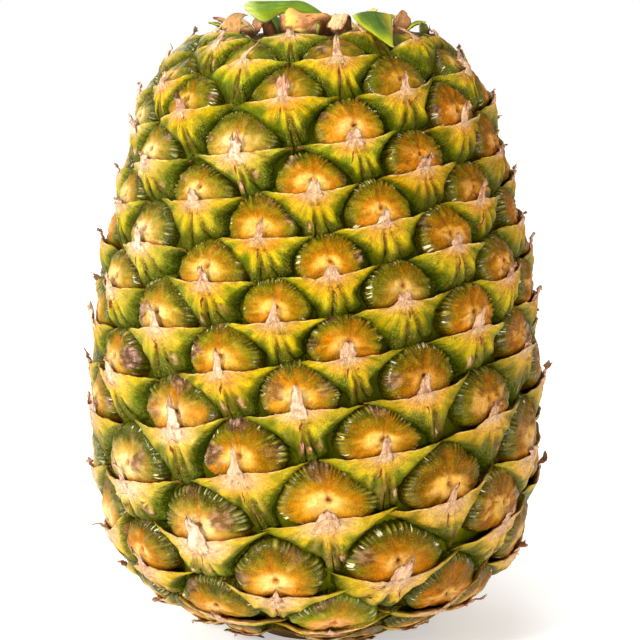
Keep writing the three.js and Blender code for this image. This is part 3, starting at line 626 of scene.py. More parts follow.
def bract(e, pile, tile):
    g, s, f, t = e.g, e.s, e.f, e.tone
    seed = e.n * 13 + 5
    centre, out = e.centre, e.out
    size = len(out)
    d = out - centre
    rho = BRACT_RINGS[:, None] * np.ones(size)
    # the inner rings keep clear of sharp corners, so that no triangle turns over
    soft = d.copy()
    for _ in range(8):
        soft = (np.roll(soft, 1, 0) + 2 * soft + np.roll(soft, -1, 0)) / 4
    wgt = smooth(0.5, 1.0, BRACT_RINGS)[:, None, None]
    p = centre + BRACT_RINGS[:, None, None] * (soft * (1 - wgt) + d * wgt)
    x, y = p[..., 0], p[..., 1]
    under = bract_edge(e, x) - y  # how far below the upper edge
    X = x / (12.5 * s)
    is_top = np.zeros(size)
    is_top[: e.top_count] = 1
    for _ in range(2):
        is_top = (np.roll(is_top, 1) + 2 * is_top + np.roll(is_top, -1)) / 4
    h, relief, ang, far = shield(e, x, y)
    away = smooth(0.66, 1.0, rho) ** 2 * (1 - is_top)
    h = h - 1.1 * away + (0.16 * noise(x / 1.3, y / 1.3, seed + 4) + 0.2 * noise(x / 4.5, y / 4.5, seed + 6)) * smooth(0.5, 2.0, far)
    # creases where the scale splits
    crease = np.zeros_like(x)
    for at, wide in zip(e.crease_at, (0.09, 0.075)):
        crease = np.maximum(crease, bump(ang - at + 0.05 * noise(far / 2, e.n, seed + 8), wide) * smooth(2.4 * s, 5 * s, far))
    h = h - 0.65 * crease
    collar = bump(x - e.tip["x"] - 0.12 * y, e.tip["w"] * (0.72 + 0.09 * np.maximum(under, 0))) * (1 - smooth(0.5 * e.fibre, 1.1 * e.fibre, under + 0.6 * noise(ang * 9, e.n, seed + 9)))
    h = h + 0.3 * collar
    lip = (1 - smooth(0.15, 0.8, under)) * is_top * (1 - smooth(0.7, 0.95, np.abs(X)))
    h = h + 0.22 * lip
    # edge and walls
    hh = h * f
    last = out
    tin = is_top[:, None] > 0.5
    n_out = d / np.linalg.norm(d, axis=1)[:, None]
    w1 = np.where(tin, last + (0, -0.12 * s), last + n_out * 0.38)
    w2 = np.where(tin, last + (0, -0.75 * s), last + n_out * 1.35 * s)
    h1 = np.where(is_top > 0.5, hh[-1] - 0.5 * f, np.minimum(hh[-1] - 0.9 * f, -2.0 * f))
    h2 = np.where(is_top > 0.5, hh[-1] - 1.3 * f, -4.2 * f)
    xyz = np.concatenate([e.xyz(x, y, hh), e.xyz(w1[:, 0], w1[:, 1], h1)[None], e.xyz(w2[:, 0], w2[:, 1], h2)[None]])
    ch = float(shield(e, np.array([centre[0]]), np.array([centre[1]]))[0][0]) * f
    verts = np.concatenate([e.xyz(np.array([centre[0]]), np.array([centre[1]]), np.array([ch])), ringed(xyz, BRACT_COARSE)])
    # ---- colour
    n1 = fbm(x / 3.0, y / 3.0, seed + 11)
    n2 = fbm(x / 1.0, y / 1.0, seed + 14)
    streak = noise(ang * 15, far / 7, seed + 17)
    q = np.hypot(x / 1.42, y + 0.1 * s) / (9.5 * s)
    # On eyes turned to the right, e.turned * X moves the right half towards darker greens and the left half towards
    # paler tones: painted shade and light.
    tt = q + 0.07 * n1 + 0.05 * streak + 0.04 * n2 + t["bract_shift"] - 0.05 * np.clip(relief, -0.5, 1) + 0.02 + 0.12 * e.turned * np.clip(X, -1, 1)
    col = ramp([(0.0, t["paper"]), (0.15, t["paper"]), (0.32, t["tan"]), (0.48, t["gold_b"]), (0.62, t["yellow"]), (0.77, t["lime"]), (0.92, t["leaf"]), (1.12, t["shade"])], tt)
    # Ridges are painted brighter yellow and valleys darker green: partly the scale's own colour, partly painted
    # highlight and shade on the relief.
    band = smooth(0.34, 0.52, tt) * (1 - smooth(0.86, 1.05, tt))
    ridge = smooth(0.32, 0.8, relief)
    col = mixc(col, t["ridge"], 0.6 * ridge * band)
    valley = smooth(0.28, -0.2, relief) * smooth(0.42, 0.66, tt)
    col = mixc(col, t["valley"], 0.8 * valley)
    wing = smooth(0.45, 0.85, np.abs(X)) * smooth(1.0, 0.2, under * 0 + np.abs(y) / (6 * s))
    col = mixc(col, t["valley"], 0.12 * wing)
    # Painted light: the wing that faces the front, and both wings low on the fruit, are brightened towards yellow.
    painted_wing_light = wing * np.where(x > 0, 0.42 * (1 - e.turned), 0.08 + 0.4 * e.turned) + 0.45 * wing * e.low
    col = mixc(col, t["yellow"], np.clip(painted_wing_light, 0, 0.75))
    # dry tan skin along the upper edge, near the tip
    dry = (1 - smooth(0.2, 1.9 * s, under + 0.5 * n1)) * (1 - smooth(0.2, 0.66, np.abs(X) + 0.15 * n1))
    col = mixc(col, mixc(t["dry"], t["tan"], 0.5 + 0.7 * n2), 0.32 * dry)
    rimmed = (1 - smooth(0.08, 0.55, under + 0.2 * n2)) * is_top * (1 - smooth(0.75, 0.95, np.abs(X)))
    col = mixc(col, mixc((244, 206, 150), (186, 116, 60), smooth(0.0, 0.7, noise(x / 1.2, e.n, seed + 19))), 0.75 * rimmed)
    fibre = smooth(-0.5, 0.5, noise(ang * 13, far / 5, seed + 25) + 0.4 * n2)
    col = mixc(col, mixc((190, 134, 98), t["fibre"], fibre), 0.92 * collar)
    # Painted shade in the creases where the scale splits.
    col = mixc(col, (78, 60, 8), 0.85 * smooth(0.25, 0.85, crease) * smooth(0.4, 0.7, tt))
    foot = smooth(6.2 * s, 10.2 * s, -y + 0.5 * n1)
    col = mixc(col, t["shade"], 0.5 * foot * (1 - 0.6 * ridge))
    # under the lower eyes the fingers are frayed into dark and dry strips
    strip = noise(ang * 12, far / 6, seed + 51) + 0.4 * n2
    frayed = smooth(4.4 * s, 7.2 * s, -y + 0.9 * n1) * min(1.0, 1.3 * e.low)
    col = mixc(col, (62, 66, 6), 0.8 * frayed * smooth(0.05, 0.4, strip))
    col = mixc(col, mixc((168, 116, 72), (232, 196, 150), 0.5 + 0.6 * n2), 0.65 * frayed * smooth(0.15, 0.5, -strip))
    blotch = smooth(0.22, 0.5, fbm(x / 2.2 + 9, y / 1.5, seed + 61)) * smooth(1.5 * s, 3.5 * s, under) * (0.3 + 0.7 * e.low)
    col = mixc(col, mixc((150, 92, 44), (206, 150, 84), 0.5 + 0.6 * n2), 0.45 * blotch)
    for cx, cy, a, b, tilt in e.scars:
        ca, sa = math.cos(tilt), math.sin(tilt)
        qx, qy = (x - cx) * ca + (y - cy) * sa, -(x - cx) * sa + (y - cy) * ca
        r = np.hypot(qx / a, qy / b) + 0.15 * n2
        col = mixc(col, (84, 52, 18), 1 - smooth(1.0, 1.4, r))
        col = mixc(col, mixc((150, 100, 64), (226, 188, 146), smooth(-0.4, 0.5, n2 + 0.4 * noise(qx * 3, 0, seed))), 1 - smooth(0.72, 1.0, r))
    # the sides green, then shaded
    col = mixc(col, t["leaf"], 0.5 * (1 - 0.7 * np.clip(painted_wing_light, 0, 1)) * smooth(0.7, 0.93, rho) * (1 - is_top))
    col = mixc(col, t["shade"], 0.7 * (1 - 0.6 * np.clip(painted_wing_light, 0, 1)) * smooth(0.88, 1.0, rho) * (1 - is_top))
    col *= (1 + 0.06 * n2 + 0.05 * streak)[..., None]
    # The walls darken downward: under the top lip a painted brown shadow, on the sides painted shade down into the
    # groove.
    w1c = np.where(tin, mixc((196, 136, 74), (128, 78, 26), 0.5 + 0.5 * n1[-1]), mixc((84, 102, 4), (58, 70, 3), 0.5 + 0.6 * n2[-1]))
    w2c = np.where(tin, np.array([96, 60, 14.0]), np.array([54, 60, 3.0]) * (1 + 0.45 * e.low))
    col = np.concatenate([col, w1c[None], w2c[None]])
    flat = np.concatenate([p, w1[None], w2[None]])
    a_all = np.arctan2(flat[..., 0], -(flat[..., 1] - 1.3 * s))
    far_all = np.hypot(flat[..., 0], flat[..., 1] - 1.3 * s)
    loc = np.stack([a_all * 9, far_all, np.full_like(far_all, e.n)], -1)
    pad2 = lambda z: np.concatenate([z, 0 * z[:2]])
    dat = np.stack([pad2(tt), pad2(collar), np.concatenate([rho * (1 - is_top), 0 * rho[:2] + 1 - is_top])], -1)
    (sx, sy, tx, ty), power = e.slit
    ax, ay = tx - sx, ty - sy
    ln = math.hypot(ax, ay)
    along = ((flat[..., 0] - sx) * ax + (flat[..., 1] - sy) * ay) / ln / ln
    offs = ((flat[..., 0] - sx) * ay - (flat[..., 1] - sy) * ax) / ln
    mark = np.stack([offs, along, np.full_like(offs, power)], -1)
    first = lambda v: np.array([v], float)
    rings = len(BRACT_RINGS) + 2
    dn = d / np.abs(d).max(0)
    qq = np.concatenate([[[0, 0]], ringed(((np.arange(rings) + 1)[:, None, None] / (rings + 0.5)) * dn[None], BRACT_COARSE)])
    cx, cy = centre
    pile.add(
        verts, fan(rings, size, BRACT_COARSE), 1,
        np.concatenate([first(col[0].mean(0)), ringed(col, BRACT_COARSE)]),
        np.concatenate([first([math.atan2(cx, -(cy - 1.3 * s)) * 9, math.hypot(cx, cy - 1.3 * s), e.n]), ringed(loc, BRACT_COARSE)]),
        np.concatenate([first(dat[0].mean(0)), ringed(dat, BRACT_COARSE)]),
        tile(0.38, 0.215, 0.36, 0.195, qq),
        np.concatenate([first([((cx - sx) * ay - (cy - sy) * ax) / ln, ((cx - sx) * ax + (cy - sy) * ay) / ln / ln, power]), ringed(mark, BRACT_COARSE)]),
    )


TIP_COLS, TIP_ROWS = 8, 15


def tip(e, pile, tile):
    """The dry papery end of the bract: a thin sheet that lies on it and stands over the pad."""
    k = e.tip
    s, f, seed = e.s, e.f, e.n * 17 + 3
    v = np.linspace(0, 1, TIP_ROWS + 1)[:, None]
    u = np.linspace(-1, 1, TIP_COLS + 1)[None, :]
    L, w0, w1 = k["len"], k["w"], k["w_end"]
    y0 = -k["foot"] * s
    y = y0 + (L - y0) * v
    free = np.clip(y / L, 0, 1)  # 0 at the bract's edge, 1 at the end
    shape = {
        "strap": np.interp(free, [0, 0.2, 0.75, 0.92, 1], [1, 0.8, 0.72, 0.6, 0.3]),
        "spike": np.interp(free, [0, 0.15, 0.5, 1], [1, 0.62, 0.36, 0.06]),
        "broad": np.interp(free, [0, 0.3, 0.7, 1], [1, 0.9, 0.62, 0.12]),
        "stub": np.interp(free, [0, 0.4, 0.85, 1], [1, 0.86, 0.8, 0.55]),
        "torn": np.interp(free, [0, 0.3, 0.6, 1], [1, 0.8, 0.95, 0.5]),
    }[k["kind"]]
    half = shape * w0 / 2 * (1 + (w1 / w0 - 1) * free)
    half = half * (1 + 0.30 * (1 - smooth(y0, 0.2, y)))
    jag = {"strap": 0.14, "spike": 0.10, "broad": 0.16, "stub": 0.24, "torn": 0.34}[k["kind"]]
    half = half * (1 + jag * noise(y * 1.15, np.sign(u) * 3.3, seed) + 0.5 * jag * noise(y * 2.9, np.sign(u) * 5.3, seed + 1))
    endcut = (jag * 1.5 * L * noise(u * 2.6, 0.0, seed + 5) - 0.12 * L * np.abs(u) ** 3) * smooth(0.5, 1, free)
    splay = 0.55 * s * noise(u * 3.1, 2.0, seed + 15) * (1 - smooth(y0, y0 * 0.3, y))
    x = k["x"] + k["lean"] * free**1.4 + half * u + 0.16 * noise(free * 4, 1.1, seed + 6) * free
    yy = y + endcut + splay - k["back"] * free**3
    on, _, _, _ = shield(e, x, np.minimum(yy, 0.0))
    stand = 0.25 * smooth(y0, 0.2, y) + 0.45 * k["rise"] * free**1.2 + k["curl"] * free**3 * np.abs(u + k["twist"])
    crumple = (0.24 + 0.5 * float(smooth(0.72, 0.95, abs(math.sin(e.b))))) * noise(u * 1.5, free * 4.3 + 7, seed + 7) + 0.16 * noise(u * 3.4, free * 8.0, seed + 17) + 0.10 * noise(u * 6.0, free * 3, seed + 18)
    lift = on + stand + crumple * smooth(y0, 0.5, y) - 0.25 * (1 - smooth(y0, y0 * 0.55, y))
    lift = lift * (0.4 + 0.6 * f)
    thick = (0.14 + 0.14 * float(smooth(0.72, 0.95, abs(math.sin(e.b))))) * (1 - np.abs(u) ** 3) * (1 - 0.5 * free) * (1 - v**10) * np.minimum(1, v * 8)
    front = e.xyz(x, yy, lift + thick).reshape(-1, 3)
    back = e.xyz(x, yy, lift - thick - 0.05 * (1 - np.abs(u))).reshape(-1, 3)
    rows, cols = TIP_ROWS + 1, TIP_COLS + 1
    idx = np.arange(rows * cols).reshape(rows, cols)
    a, b, c, d = idx[:-1, :-1].ravel(), idx[:-1, 1:].ravel(), idx[1:, 1:].ravel(), idx[1:, :-1].ravel()
    fr = np.concatenate([np.stack([a, b, c], 1), np.stack([a, c, d], 1)])
    o = rows * cols
    # the back sheet shares the outline, so the strip is closed
    share = np.zeros((rows, cols), bool)
    share[0, :] = share[-1, :] = share[:, 0] = share[:, -1] = True
    remap = np.where(share.ravel(), np.arange(o), o + np.arange(o))
    bk = remap[fr][:, ::-1]
    used = np.unique(np.concatenate([fr.ravel(), bk.ravel()]))
    new = np.full(2 * o, -1)
    new[used] = np.arange(len(used))
    verts = np.concatenate([front, back])[used]
    faces = new[np.concatenate([fr, bk])]
    uu, ff = np.broadcast_arrays(u, free)
    vv = np.broadcast_arrays(u, v)[1]
    fib = noise(uu * 4.2, y * 0.35, seed + 8) + 0.5 * noise(uu * 9, y * 0.5, seed + 28)
    blot = fbm(uu * 2.0, y * 0.7, seed + 9)
    base = mixc(k["pale"], k["pale"] * (0.84, 0.68, 0.58), smooth(-0.7, 0.9, fib))
    base = mixc(base, k["tone"], 0.35)
    base = mixc(base, (164, 104, 70), 0.8 * smooth(0.05, 0.5, blot + k["brown"]))
    base = mixc(base, (104, 58, 28), smooth(0.72, 1.0, ff + 0.15 * blot) * k["dark_end"])
    base = mixc(base, (168, 112, 72), 0.45 * smooth(0.8, 1.0, np.abs(uu)) * smooth(0.3, 0.6, ff))
    base = mixc(base, mixc(e.tone["tan"], e.tone["fibre"], 0.5 + 0.5 * fib), (1 - smooth(0, 0.3, vv)) * 0.6)
    front_c = base.reshape(-1, 3)
    back_c = mixc(base, (150, 98, 60), np.full(base.shape[:2], 0.5)).reshape(-1, 3)
    col = np.concatenate([front_c, back_c])[used]
    xy = np.stack(np.broadcast_arrays(x, yy), -1).reshape(-1, 2)
    flat = np.concatenate([xy, xy])[used]
    loc = np.concatenate([flat, np.full((len(flat), 1), e.n)], 1)
    dat = np.concatenate([np.stack([uu, vv, 0 * uu], -1).reshape(-1, 3)] * 2)[used]
    q = np.concatenate([np.stack([uu * 0.46 - 0.5, vv * 2 - 1], -1).reshape(-1, 2), np.stack([uu * 0.46 + 0.5, vv * 2 - 1], -1).reshape(-1, 2)])[used]
    pile.add(verts, faces, 2, col, loc, dat, tile(0.79, 0.715, 0.18, 0.26, q))


# ------------------------------------------------------------------ how each eye differs
# Papery tips seen from the front: kind, length, width, end width, lean, rise, brown, dark end.
TIPS = {
    45: ("strap", 6.4, 3.2, 2.2, 0.3, 1.6, 0.2, 0.3), 50: ("spike", 6.0, 2.2, 1.4, 3.4, 1.4, -0.1, 0.4),
    37: ("stub", 1.6, 3.0, 2.6, -0.4, 0.8, 0.4, 0.6), 40: ("strap", 6.5, 2.4, 2.0, -2.4, 2.2, 0.3, 0.5),
    48: ("spike", 8.4, 2.9, 2.6, -1.4, 2.4, -0.1, 0.1), 55: ("spike", 5.0, 2.6, 1.4, 0.6, 2.0, 0.1, 0.6),
    53: ("strap", 4.4, 3.4, 2.8, 0.6, 2.0, 0.1, 0.2), 58: ("torn", 4.8, 4.2, 4.0, 0.4, 2.0, 0.3, 0.6),
    61: ("strap", 4.6, 3.8, 3.4, 1.0, 2.0, 0.1, 0.3), 63: ("torn", 3.6, 3.8, 3.6, -1.8, 2.2, 0.4, 0.7),
    66: ("stub", 3.0, 4.4, 3.8, 0.2, 1.6, 0.2, 0.5), 71: ("torn", 4.6, 4.0, 4.0, 0.2, 2.0, 0.2, 0.4),
    74: ("torn", 3.4, 4.2, 4.4, 1.8, 2.0, 0.2, 0.4), 69: ("stub", 3.2, 3.6, 3.0, 0.6, 2.2, 0.3, 0.6),
    76: ("stub", 3.0, 3.4, 3.0, -0.6, 1.8, 0.1, 0.3), 79: ("stub", 3.0, 4.2, 3.4, 0.2, 1.4, 0.0, 0.2),
    82: ("strap", 4.6, 3.4, 3.0, 1.6, 2.4, 0.1, 0.3), 84: ("stub", 2.8, 4.0, 3.4, 0.0, 1.4, 0.0, 0.2),
    87: ("stub", 3.2, 4.2, 3.8, 0.2, 1.6, 0.0, 0.2), 90: ("stub", 3.2, 3.6, 3.0, 1.0, 2.4, 0.2, 0.6),
    92: ("strap", 5.0, 2.6, 1.8, 0.8, 1.8, 0.0, 0.2), 95: ("stub", 2.6, 4.4, 4.0, 0.4, 1.4, 0.1, 0.2),
    97: ("strap", 4.4, 3.6, 2.6, -0.8, 2.0, 0.0, 0.2), 100: ("stub", 2.6, 4.4, 3.6, 0.1, 1.2, 0.0, 0.1),
    103: ("strap", 4.2, 3.6, 3.4, 1.4, 2.4, 0.2, 0.4), 105: ("stub", 3.2, 3.6, 3.0, -0.2, 1.6, 0.2, 0.3),
    108: ("stub", 2.8, 4.8, 4.0, 0.2, 1.3, 0.0, 0.1), 110: ("strap", 5.0, 3.4, 2.6, -0.8, 2.4, 0.0, 0.3),
    113: ("spike", 6.4, 4.2, 3.2, 0.4, 1.8, -0.1, 0.2), 116: ("broad", 5.6, 4.8, 4.4, 0.8, 2.0, 0.0, 0.2),
    118: ("strap", 6.6, 4.2, 3.6, -1.8, 2.2, -0.1, 0.3), 121: ("stub", 4.4, 4.6, 4.4, 0.2, 1.6, -0.1, 0.1),
    124: ("stub", 3.6, 4.0, 3.8, 0.8, 2.2, 0.2, 0.4), 126: ("strap", 6.2, 3.0, 2.2, -0.3, 1.8, -0.1, 0.3),
    129: ("strap", 5.0, 4.2, 3.4, 0.5, 1.8, 0.1, 0.2), 131: ("strap", 5.6, 3.8, 2.8, -1.0, 2.2, -0.1, 0.3),
    134: ("strap", 6.8, 4.6, 3.4, -0.4, 1.8, -0.2, 0.1), 137: ("stub", 4.0, 4.4, 4.0, 0.8, 2.0, 0.2, 0.3),
    139: ("strap", 7.4, 5.2, 3.6, -0.6, 2.0, -0.2, 0.2), 142: ("strap", 4.4, 3.6, 3.6, 0.3, 1.6, 0.2, 0.3),
    147: ("spike", 8.2, 4.8, 4.6, -0.4, 1.8, -0.2, 0.2), 150: ("strap", 5.4, 3.0, 2.4, 0.6, 2.0, -0.1, 0.2),
    152: ("strap", 6.0, 2.6, 2.0, -1.6, 2.4, -0.1, 0.3), 155: ("broad", 3.0, 6.0, 4.0, 0.0, 1.0, 0.1, 0.0),
    158: ("stub", 3.6, 4.2, 3.8, 1.0, 2.0, 0.2, 0.4), 160: ("broad", 6.8, 6.4, 6.6, -1.6, 2.0, -0.1, 0.2),
    163: ("broad", 6.6, 6.6, 6.6, 2.2, 2.2, -0.1, 0.1), 168: ("spike", 3.8, 3.2, 2.4, 0.6, 1.6, 0.1, 0.3),
    171: ("strap", 4.2, 3.6, 3.0, 0.6, 1.8, 0.2, 0.4), 173: ("strap", 5.2, 3.8, 3.0, -0.8, 2.0, 0.0, 0.3),
    176: ("spike", 4.8, 3.6, 2.6, -0.8, 2.0, -0.1, 0.1), 181: ("strap", 4.6, 3.8, 3.0, -0.4, 1.8, 0.0, 0.3),
}
# Scuffed patches of the pads seen from the front: x, y, size, strength in mm.
SCUFFS = {
    118: [(-7.5, 2.6, 3.4, 0.9)], 131: [(6.5, 4.4, 3.6, 0.95)], 134: [(-6.0, 4.2, 3.0, 0.6), (6.4, 5.6, 2.8, 0.5)],
    139: [(1.0, 11.5, 3.2, 0.8), (-7.0, 4.0, 3.0, 0.5)], 147: [(-1.0, 11.8, 3.0, 0.9), (-7.4, 3.4, 3.4, 0.9), (8.0, 5.4, 2.6, 0.7)],
    126: [(-8.0, 4.6, 3.0, 0.85), (-2.0, 12.0, 2.2, 0.5)], 121: [(-4.0, 11.5, 3.2, 0.85), (-8.6, 3.0, 2.0, 0.6)],
    129: [(-8.2, 3.4, 2.6, 0.7)], 155: [(-2.0, 11.5, 3.4, 0.7)], 160: [(6.6, 6.0, 3.6, 0.7), (-3.0, 12.0, 2.6, 0.6)],
    163: [(-8.6, 6.0, 3.0, 0.7)], 142: [(0.0, 12.0, 3.2, 0.8)], 152: [(5.0, 5.0, 3.6, 0.7)], 97: [(-5.0, 6.0, 2.6, 0.4)],
    110: [(3.0, 9.5, 2.4, 0.6)], 103: [(7.0, 8.0, 3.0, 0.8)], 124: [(5.5, 6.0, 3.0, 0.7)], 84: [(-6.4, 6.0, 2.2, 0.4)],
    168: [(-9.0, 4.0, 2.6, 0.6), (4.0, 11.0, 2.6, 0.5)], 58: [(-3.4, 5.2, 2.0, 0.5)], 45: [(-3.6, 3.6, 1.9, 0.9)],
}


# How ripe the pads seen from the front are: -1 green, 1 orange.
RIPE = {
    108: -0.9, 100: 0.0, 87: 0.5, 66: 0.1, 92: 0.0, 113: -0.1, 121: 0.3, 129: 0.6, 95: 0.8, 74: 0.2, 134: 0.2, 126: -0.1, 142: 0.3, 150: 0.0, 116: 0.3,
    103: 0.8, 90: 0.5, 105: -0.35, 97: -0.3, 118: -0.2, 84: -0.5, 76: -0.3, 71: -0.6, 63: -0.5, 58: -0.5, 53: 0.6, 61: 0.4, 155: 0.1, 160: 0.0, 163: 0.5,
    168: 0.1, 171: 0.5, 176: 0.0, 181: -0.3, 137: 0.2, 124: 0.8, 158: 0.7, 147: -0.1, 139: -0.1, 131: 0.0, 79: 0.1, 110: -0.2, 152: 0.1, 82: 0.4, 69: 0.3,
}


def describe(e):
    """Sets what makes one eye differ from the next, all of it seeded by its number."""
    g, s = e.g, e.s
    right = math.sin(wrap(e.b))  # +1 at the right side, -1 at the left
    # From left to right the tones change partly as riper skin and partly as painted side light: lighter on the left,
    # darker on the right.
    sun = float(np.clip(0.5 + 0.40 * right + g.normal(0, 0.14), 0, 1))
    low = float(np.clip((0.3 - e.w) / 1.5, 0, 1))
    e.sun = sun
    e.turned = max(0.0, right)
    c = lambda a, b: a + (np.array(b, float) - np.array(a, float)) * sun

    def c3(a, b, d):  # left, front and right
        return np.array([np.interp(sun, [0.05, 0.5, 0.95], v) for v in zip(a, b, d)])

    j = lambda a, d=6: np.clip(np.array(a, float) + g.normal(0, d, 3) * (1, 0.7, 0.4), 0, 255)
    e.tone = dict(
        cream=j(c3((252, 222, 172), (248, 194, 92), (222, 146, 44))), gold=j(c3((234, 184, 104), (189, 121, 7), (136, 82, 3))),
        amber=j(c3((200, 158, 76), (154, 100, 0), (104, 68, 0))), olive=j(c3((158, 136, 52), (138, 106, 3), (98, 78, 1))),
        rim=j(c3((118, 112, 34), (126, 112, 6), (116, 98, 2)), 5), deep=j(c3((64, 68, 8), (78, 72, 2), (68, 61, 0)), 3),
        orange=j(c3((222, 142, 36), (204, 108, 2), (188, 94, 0))), crescent=j(c3((246, 202, 120), (208, 128, 14), (228, 142, 18))),
        green=j(c3((112, 114, 22), (118, 112, 4), (104, 98, 2))), glass_and_glint=j(c3((232, 226, 168), (206, 190, 66), (190, 168, 40))),
        paper=j(c3((248, 212, 168), (212, 156, 90), (226, 172, 112))), tan=j(c3((236, 194, 126), (218, 158, 44), (218, 158, 60))),
        gold_b=j(c3((210, 178, 84), (212, 166, 24), (204, 150, 26))), yellow=j(c3((180, 158, 48), (200, 166, 7), (176, 136, 8))),
        lime=j(c3((148, 138, 34), (156, 142, 4), (134, 112, 4))), leaf=j(c3((112, 120, 22), (106, 114, 3), (94, 92, 2)), 5),
        shade=j(c3((74, 82, 14), (70, 70, 2), (62, 58, 1)), 3), ridge=j(c3((202, 186, 50), (230, 202, 10), (190, 156, 8))),
        valley=j(c3((92, 108, 22), (82, 100, 2), (74, 84, 1)), 5), dry=j(c3((236, 184, 130), (214, 144, 66), (210, 144, 76))),
        fibre=j(c3((255, 238, 214), (230, 188, 144), (234, 194, 152))),
        flush=g.normal(-0.05, 0.25) + 0.4 * (sun - 0.5), bract_shift=g.normal(0, 0.04) - 0.15 * low,
    )
    for key, tone, share in (("cream", (250, 206, 140), 0.5), ("tan", (246, 204, 148), 0.7), ("gold_b", (236, 190, 104), 0.65), ("yellow", (220, 180, 60), 0.35), ("paper", (248, 218, 180), 0.5)):
        e.tone[key] = e.tone[key] + (np.array(tone, float) - e.tone[key]) * share * low
    for key, tone, share in (("rim", (96, 88, 26), 0.6), ("deep", (46, 54, 5), 0.6), ("green", (92, 96, 12), 0.5), ("olive", (150, 124, 36), 0.3)):
        e.tone[key] = e.tone[key] + (np.array(tone, float) - e.tone[key]) * share * low
    e.low = low
    ripe = RIPE.get(e.n, float(np.clip(g.normal(0.05, 0.35), -0.9, 0.9)))
    if ripe < 0:
        shift = (("cream", (234, 206, 126), 0.7), ("gold", (176, 150, 48), 0.75), ("amber", (130, 122, 20), 0.8), ("olive", (100, 104, 10), 0.8), ("rim", (78, 90, 4), 0.6), ("orange", (190, 134, 30), 0.6))
    else:
        shift = (("cream", (252, 184, 74), 0.5), ("gold", (240, 150, 24), 0.6), ("amber", (208, 120, 4), 0.55), ("olive", (158, 98, 0), 0.5))
    for key, tone, share in shift:
        e.tone[key] = e.tone[key] + (np.array(tone, float) * (0.85 + 0.3 * (0.5 - sun)) - e.tone[key]) * share * abs(ripe)
    e.tone["flush"] += 0.35 * ripe
    green_end = float(smooth(1.0, 1.42, e.w))
    for key, tone, share in (("cream", (206, 170, 52), 0.6), ("gold", (138, 124, 14), 0.8), ("amber", (92, 104, 8), 0.9), ("olive", (74, 94, 8), 0.85), ("rim", (54, 78, 4), 0.85), ("green", (64, 98, 10), 0.8), ("glass_and_glint", (150, 176, 60), 0.6), ("orange", (176, 108, 16), 0.5)):
        e.tone[key] = e.tone[key] + (np.array(tone, float) - e.tone[key]) * share * green_end
    if e.n == 176:
        for key, tone in (("cream", (232, 168, 100)), ("gold", (214, 150, 66)), ("amber", (172, 140, 22)), ("olive", (142, 136, 10)), ("rim", (124, 130, 8)), ("green", (124, 130, 9)), ("deep", (84, 98, 4)), ("orange", (214, 140, 40))):
            e.tone[key] = np.array(tone, float)
    e.pit = float(np.clip(g.normal(0.75, 0.35), 0.1, 1))
    e.pale_shift = g.normal(0, 0.035) + 0.10 * green_end
    e.lobe = (g.uniform(0.85, 1.15), g.uniform(0.35, 1.0))
    e.toothed = float(np.clip(0.5 + 0.3 * low - 0.15 * right + g.normal(0, 0.15), 0.2, 0.95))
    e.concave = float(np.clip(0.8 * low - 0.25 * right + g.normal(0.0, 0.15), -0.2, 1.0))
    e.patch = float(np.clip(g.normal(0.3, 0.4), 0, 1))
    e.seam = g.normal(0.05, 0.14)
    e.fold_left = g.random() < 0.72
    e.fold_deep = float(np.clip(g.normal(0.75, 0.25), 0.15, 1.1))
    e.dip = (g.uniform(1.4, 2.6) - 0.5 * low, g.uniform(0.2, 0.9) + 0.3 * low)
    e.swell = g.uniform(0.55, 0.9) + 0.35 * low
    e.round = g.uniform(0.79, 0.84) + 0.03 * low
    e.tooth = g.uniform(1.25, 1.75)
    e.rounded = float(np.clip(0.25 + 0.6 * low - 0.3 * right + g.normal(0, 0.15), 0, 1))
    e.prong = (g.uniform(0.95, 1.05), g.uniform(0.93, 1.04))
    e.wing_l = e.left * g.uniform(1.02, 1.14) + (-1.0 * low * s, -(0.7 - 1.6 * low) * s)
    e.wing_r = e.right * g.uniform(1.10, 1.22) + (1.0 * low * s, (1.9 * low + 0.1) * s)
    e.fibre = (1.9 + 3.8 * float(np.clip(-0.5 * right + 0.6 * low + g.normal(0, 0.2), 0, 1))) * s
    if e.n in TIPS:
        kind, ln, w, we, lean, up, brown, dark = TIPS[e.n]
    else:
        kind = g.choice(["strap", "spike", "broad", "stub", "torn"], p=[0.34, 0.14, 0.16, 0.24, 0.12])
        ln = dict(strap=5.6, spike=6.6, broad=5.6, stub=3.4, torn=4.4)[str(kind)] * g.uniform(0.75, 1.25) * (0.6 + 0.4 * s)
        w = dict(strap=3.6, spike=3.2, broad=5.6, stub=4.2, torn=4.2)[str(kind)] * g.uniform(0.8, 1.2) * (0.4 + 0.6 * s)
        we, lean, up, brown, dark = w * g.uniform(0.7, 1.1), g.normal(0, 1.1), g.uniform(1.4, 3.0), g.normal(0.0, 0.15), g.uniform(0.0, 0.45)
    w, we = w * 0.88, we * 0.9
    edge_on = float(smooth(0.72, 0.95, abs(right)))
    ln, up, dark, w, we = ln * (1 - 0.46 * edge_on), up * (1 - 0.25 * edge_on), dark * (1 - 0.7 * edge_on), w * (1 + 0.5 * edge_on), we * (1 + 0.85 * edge_on)
    if edge_on > 0.5 and str(kind) == "spike":  # dry ones curl up, thin ones would stand out
        kind = "torn"
    if e.w < -1.35:  # the small eyes under the fruit have withered, shorter tips
        ln, w, up = ln * 0.7, w * 0.8, up * 0.5
    e.tip = dict(kind=str(kind), len=ln, w=w, w_end=we, lean=lean, rise=up, curl=g.uniform(0.1, 0.8) * (1 + 0.4 * edge_on), twist=g.uniform(-1, 1), back=g.uniform(0, 0.8),
                 brown=brown, dark_end=dark, x=g.normal(0, 0.3) * s, tone=j(c3((248, 224, 194), (226, 184, 140), (212, 164, 118))), pale=np.array(c3((255, 240, 216), (240, 210, 174), (230, 192, 152))), foot=0.45 * e.fibre / s + g.uniform(0.9, 1.5))
    if e.n in SCUFFS:
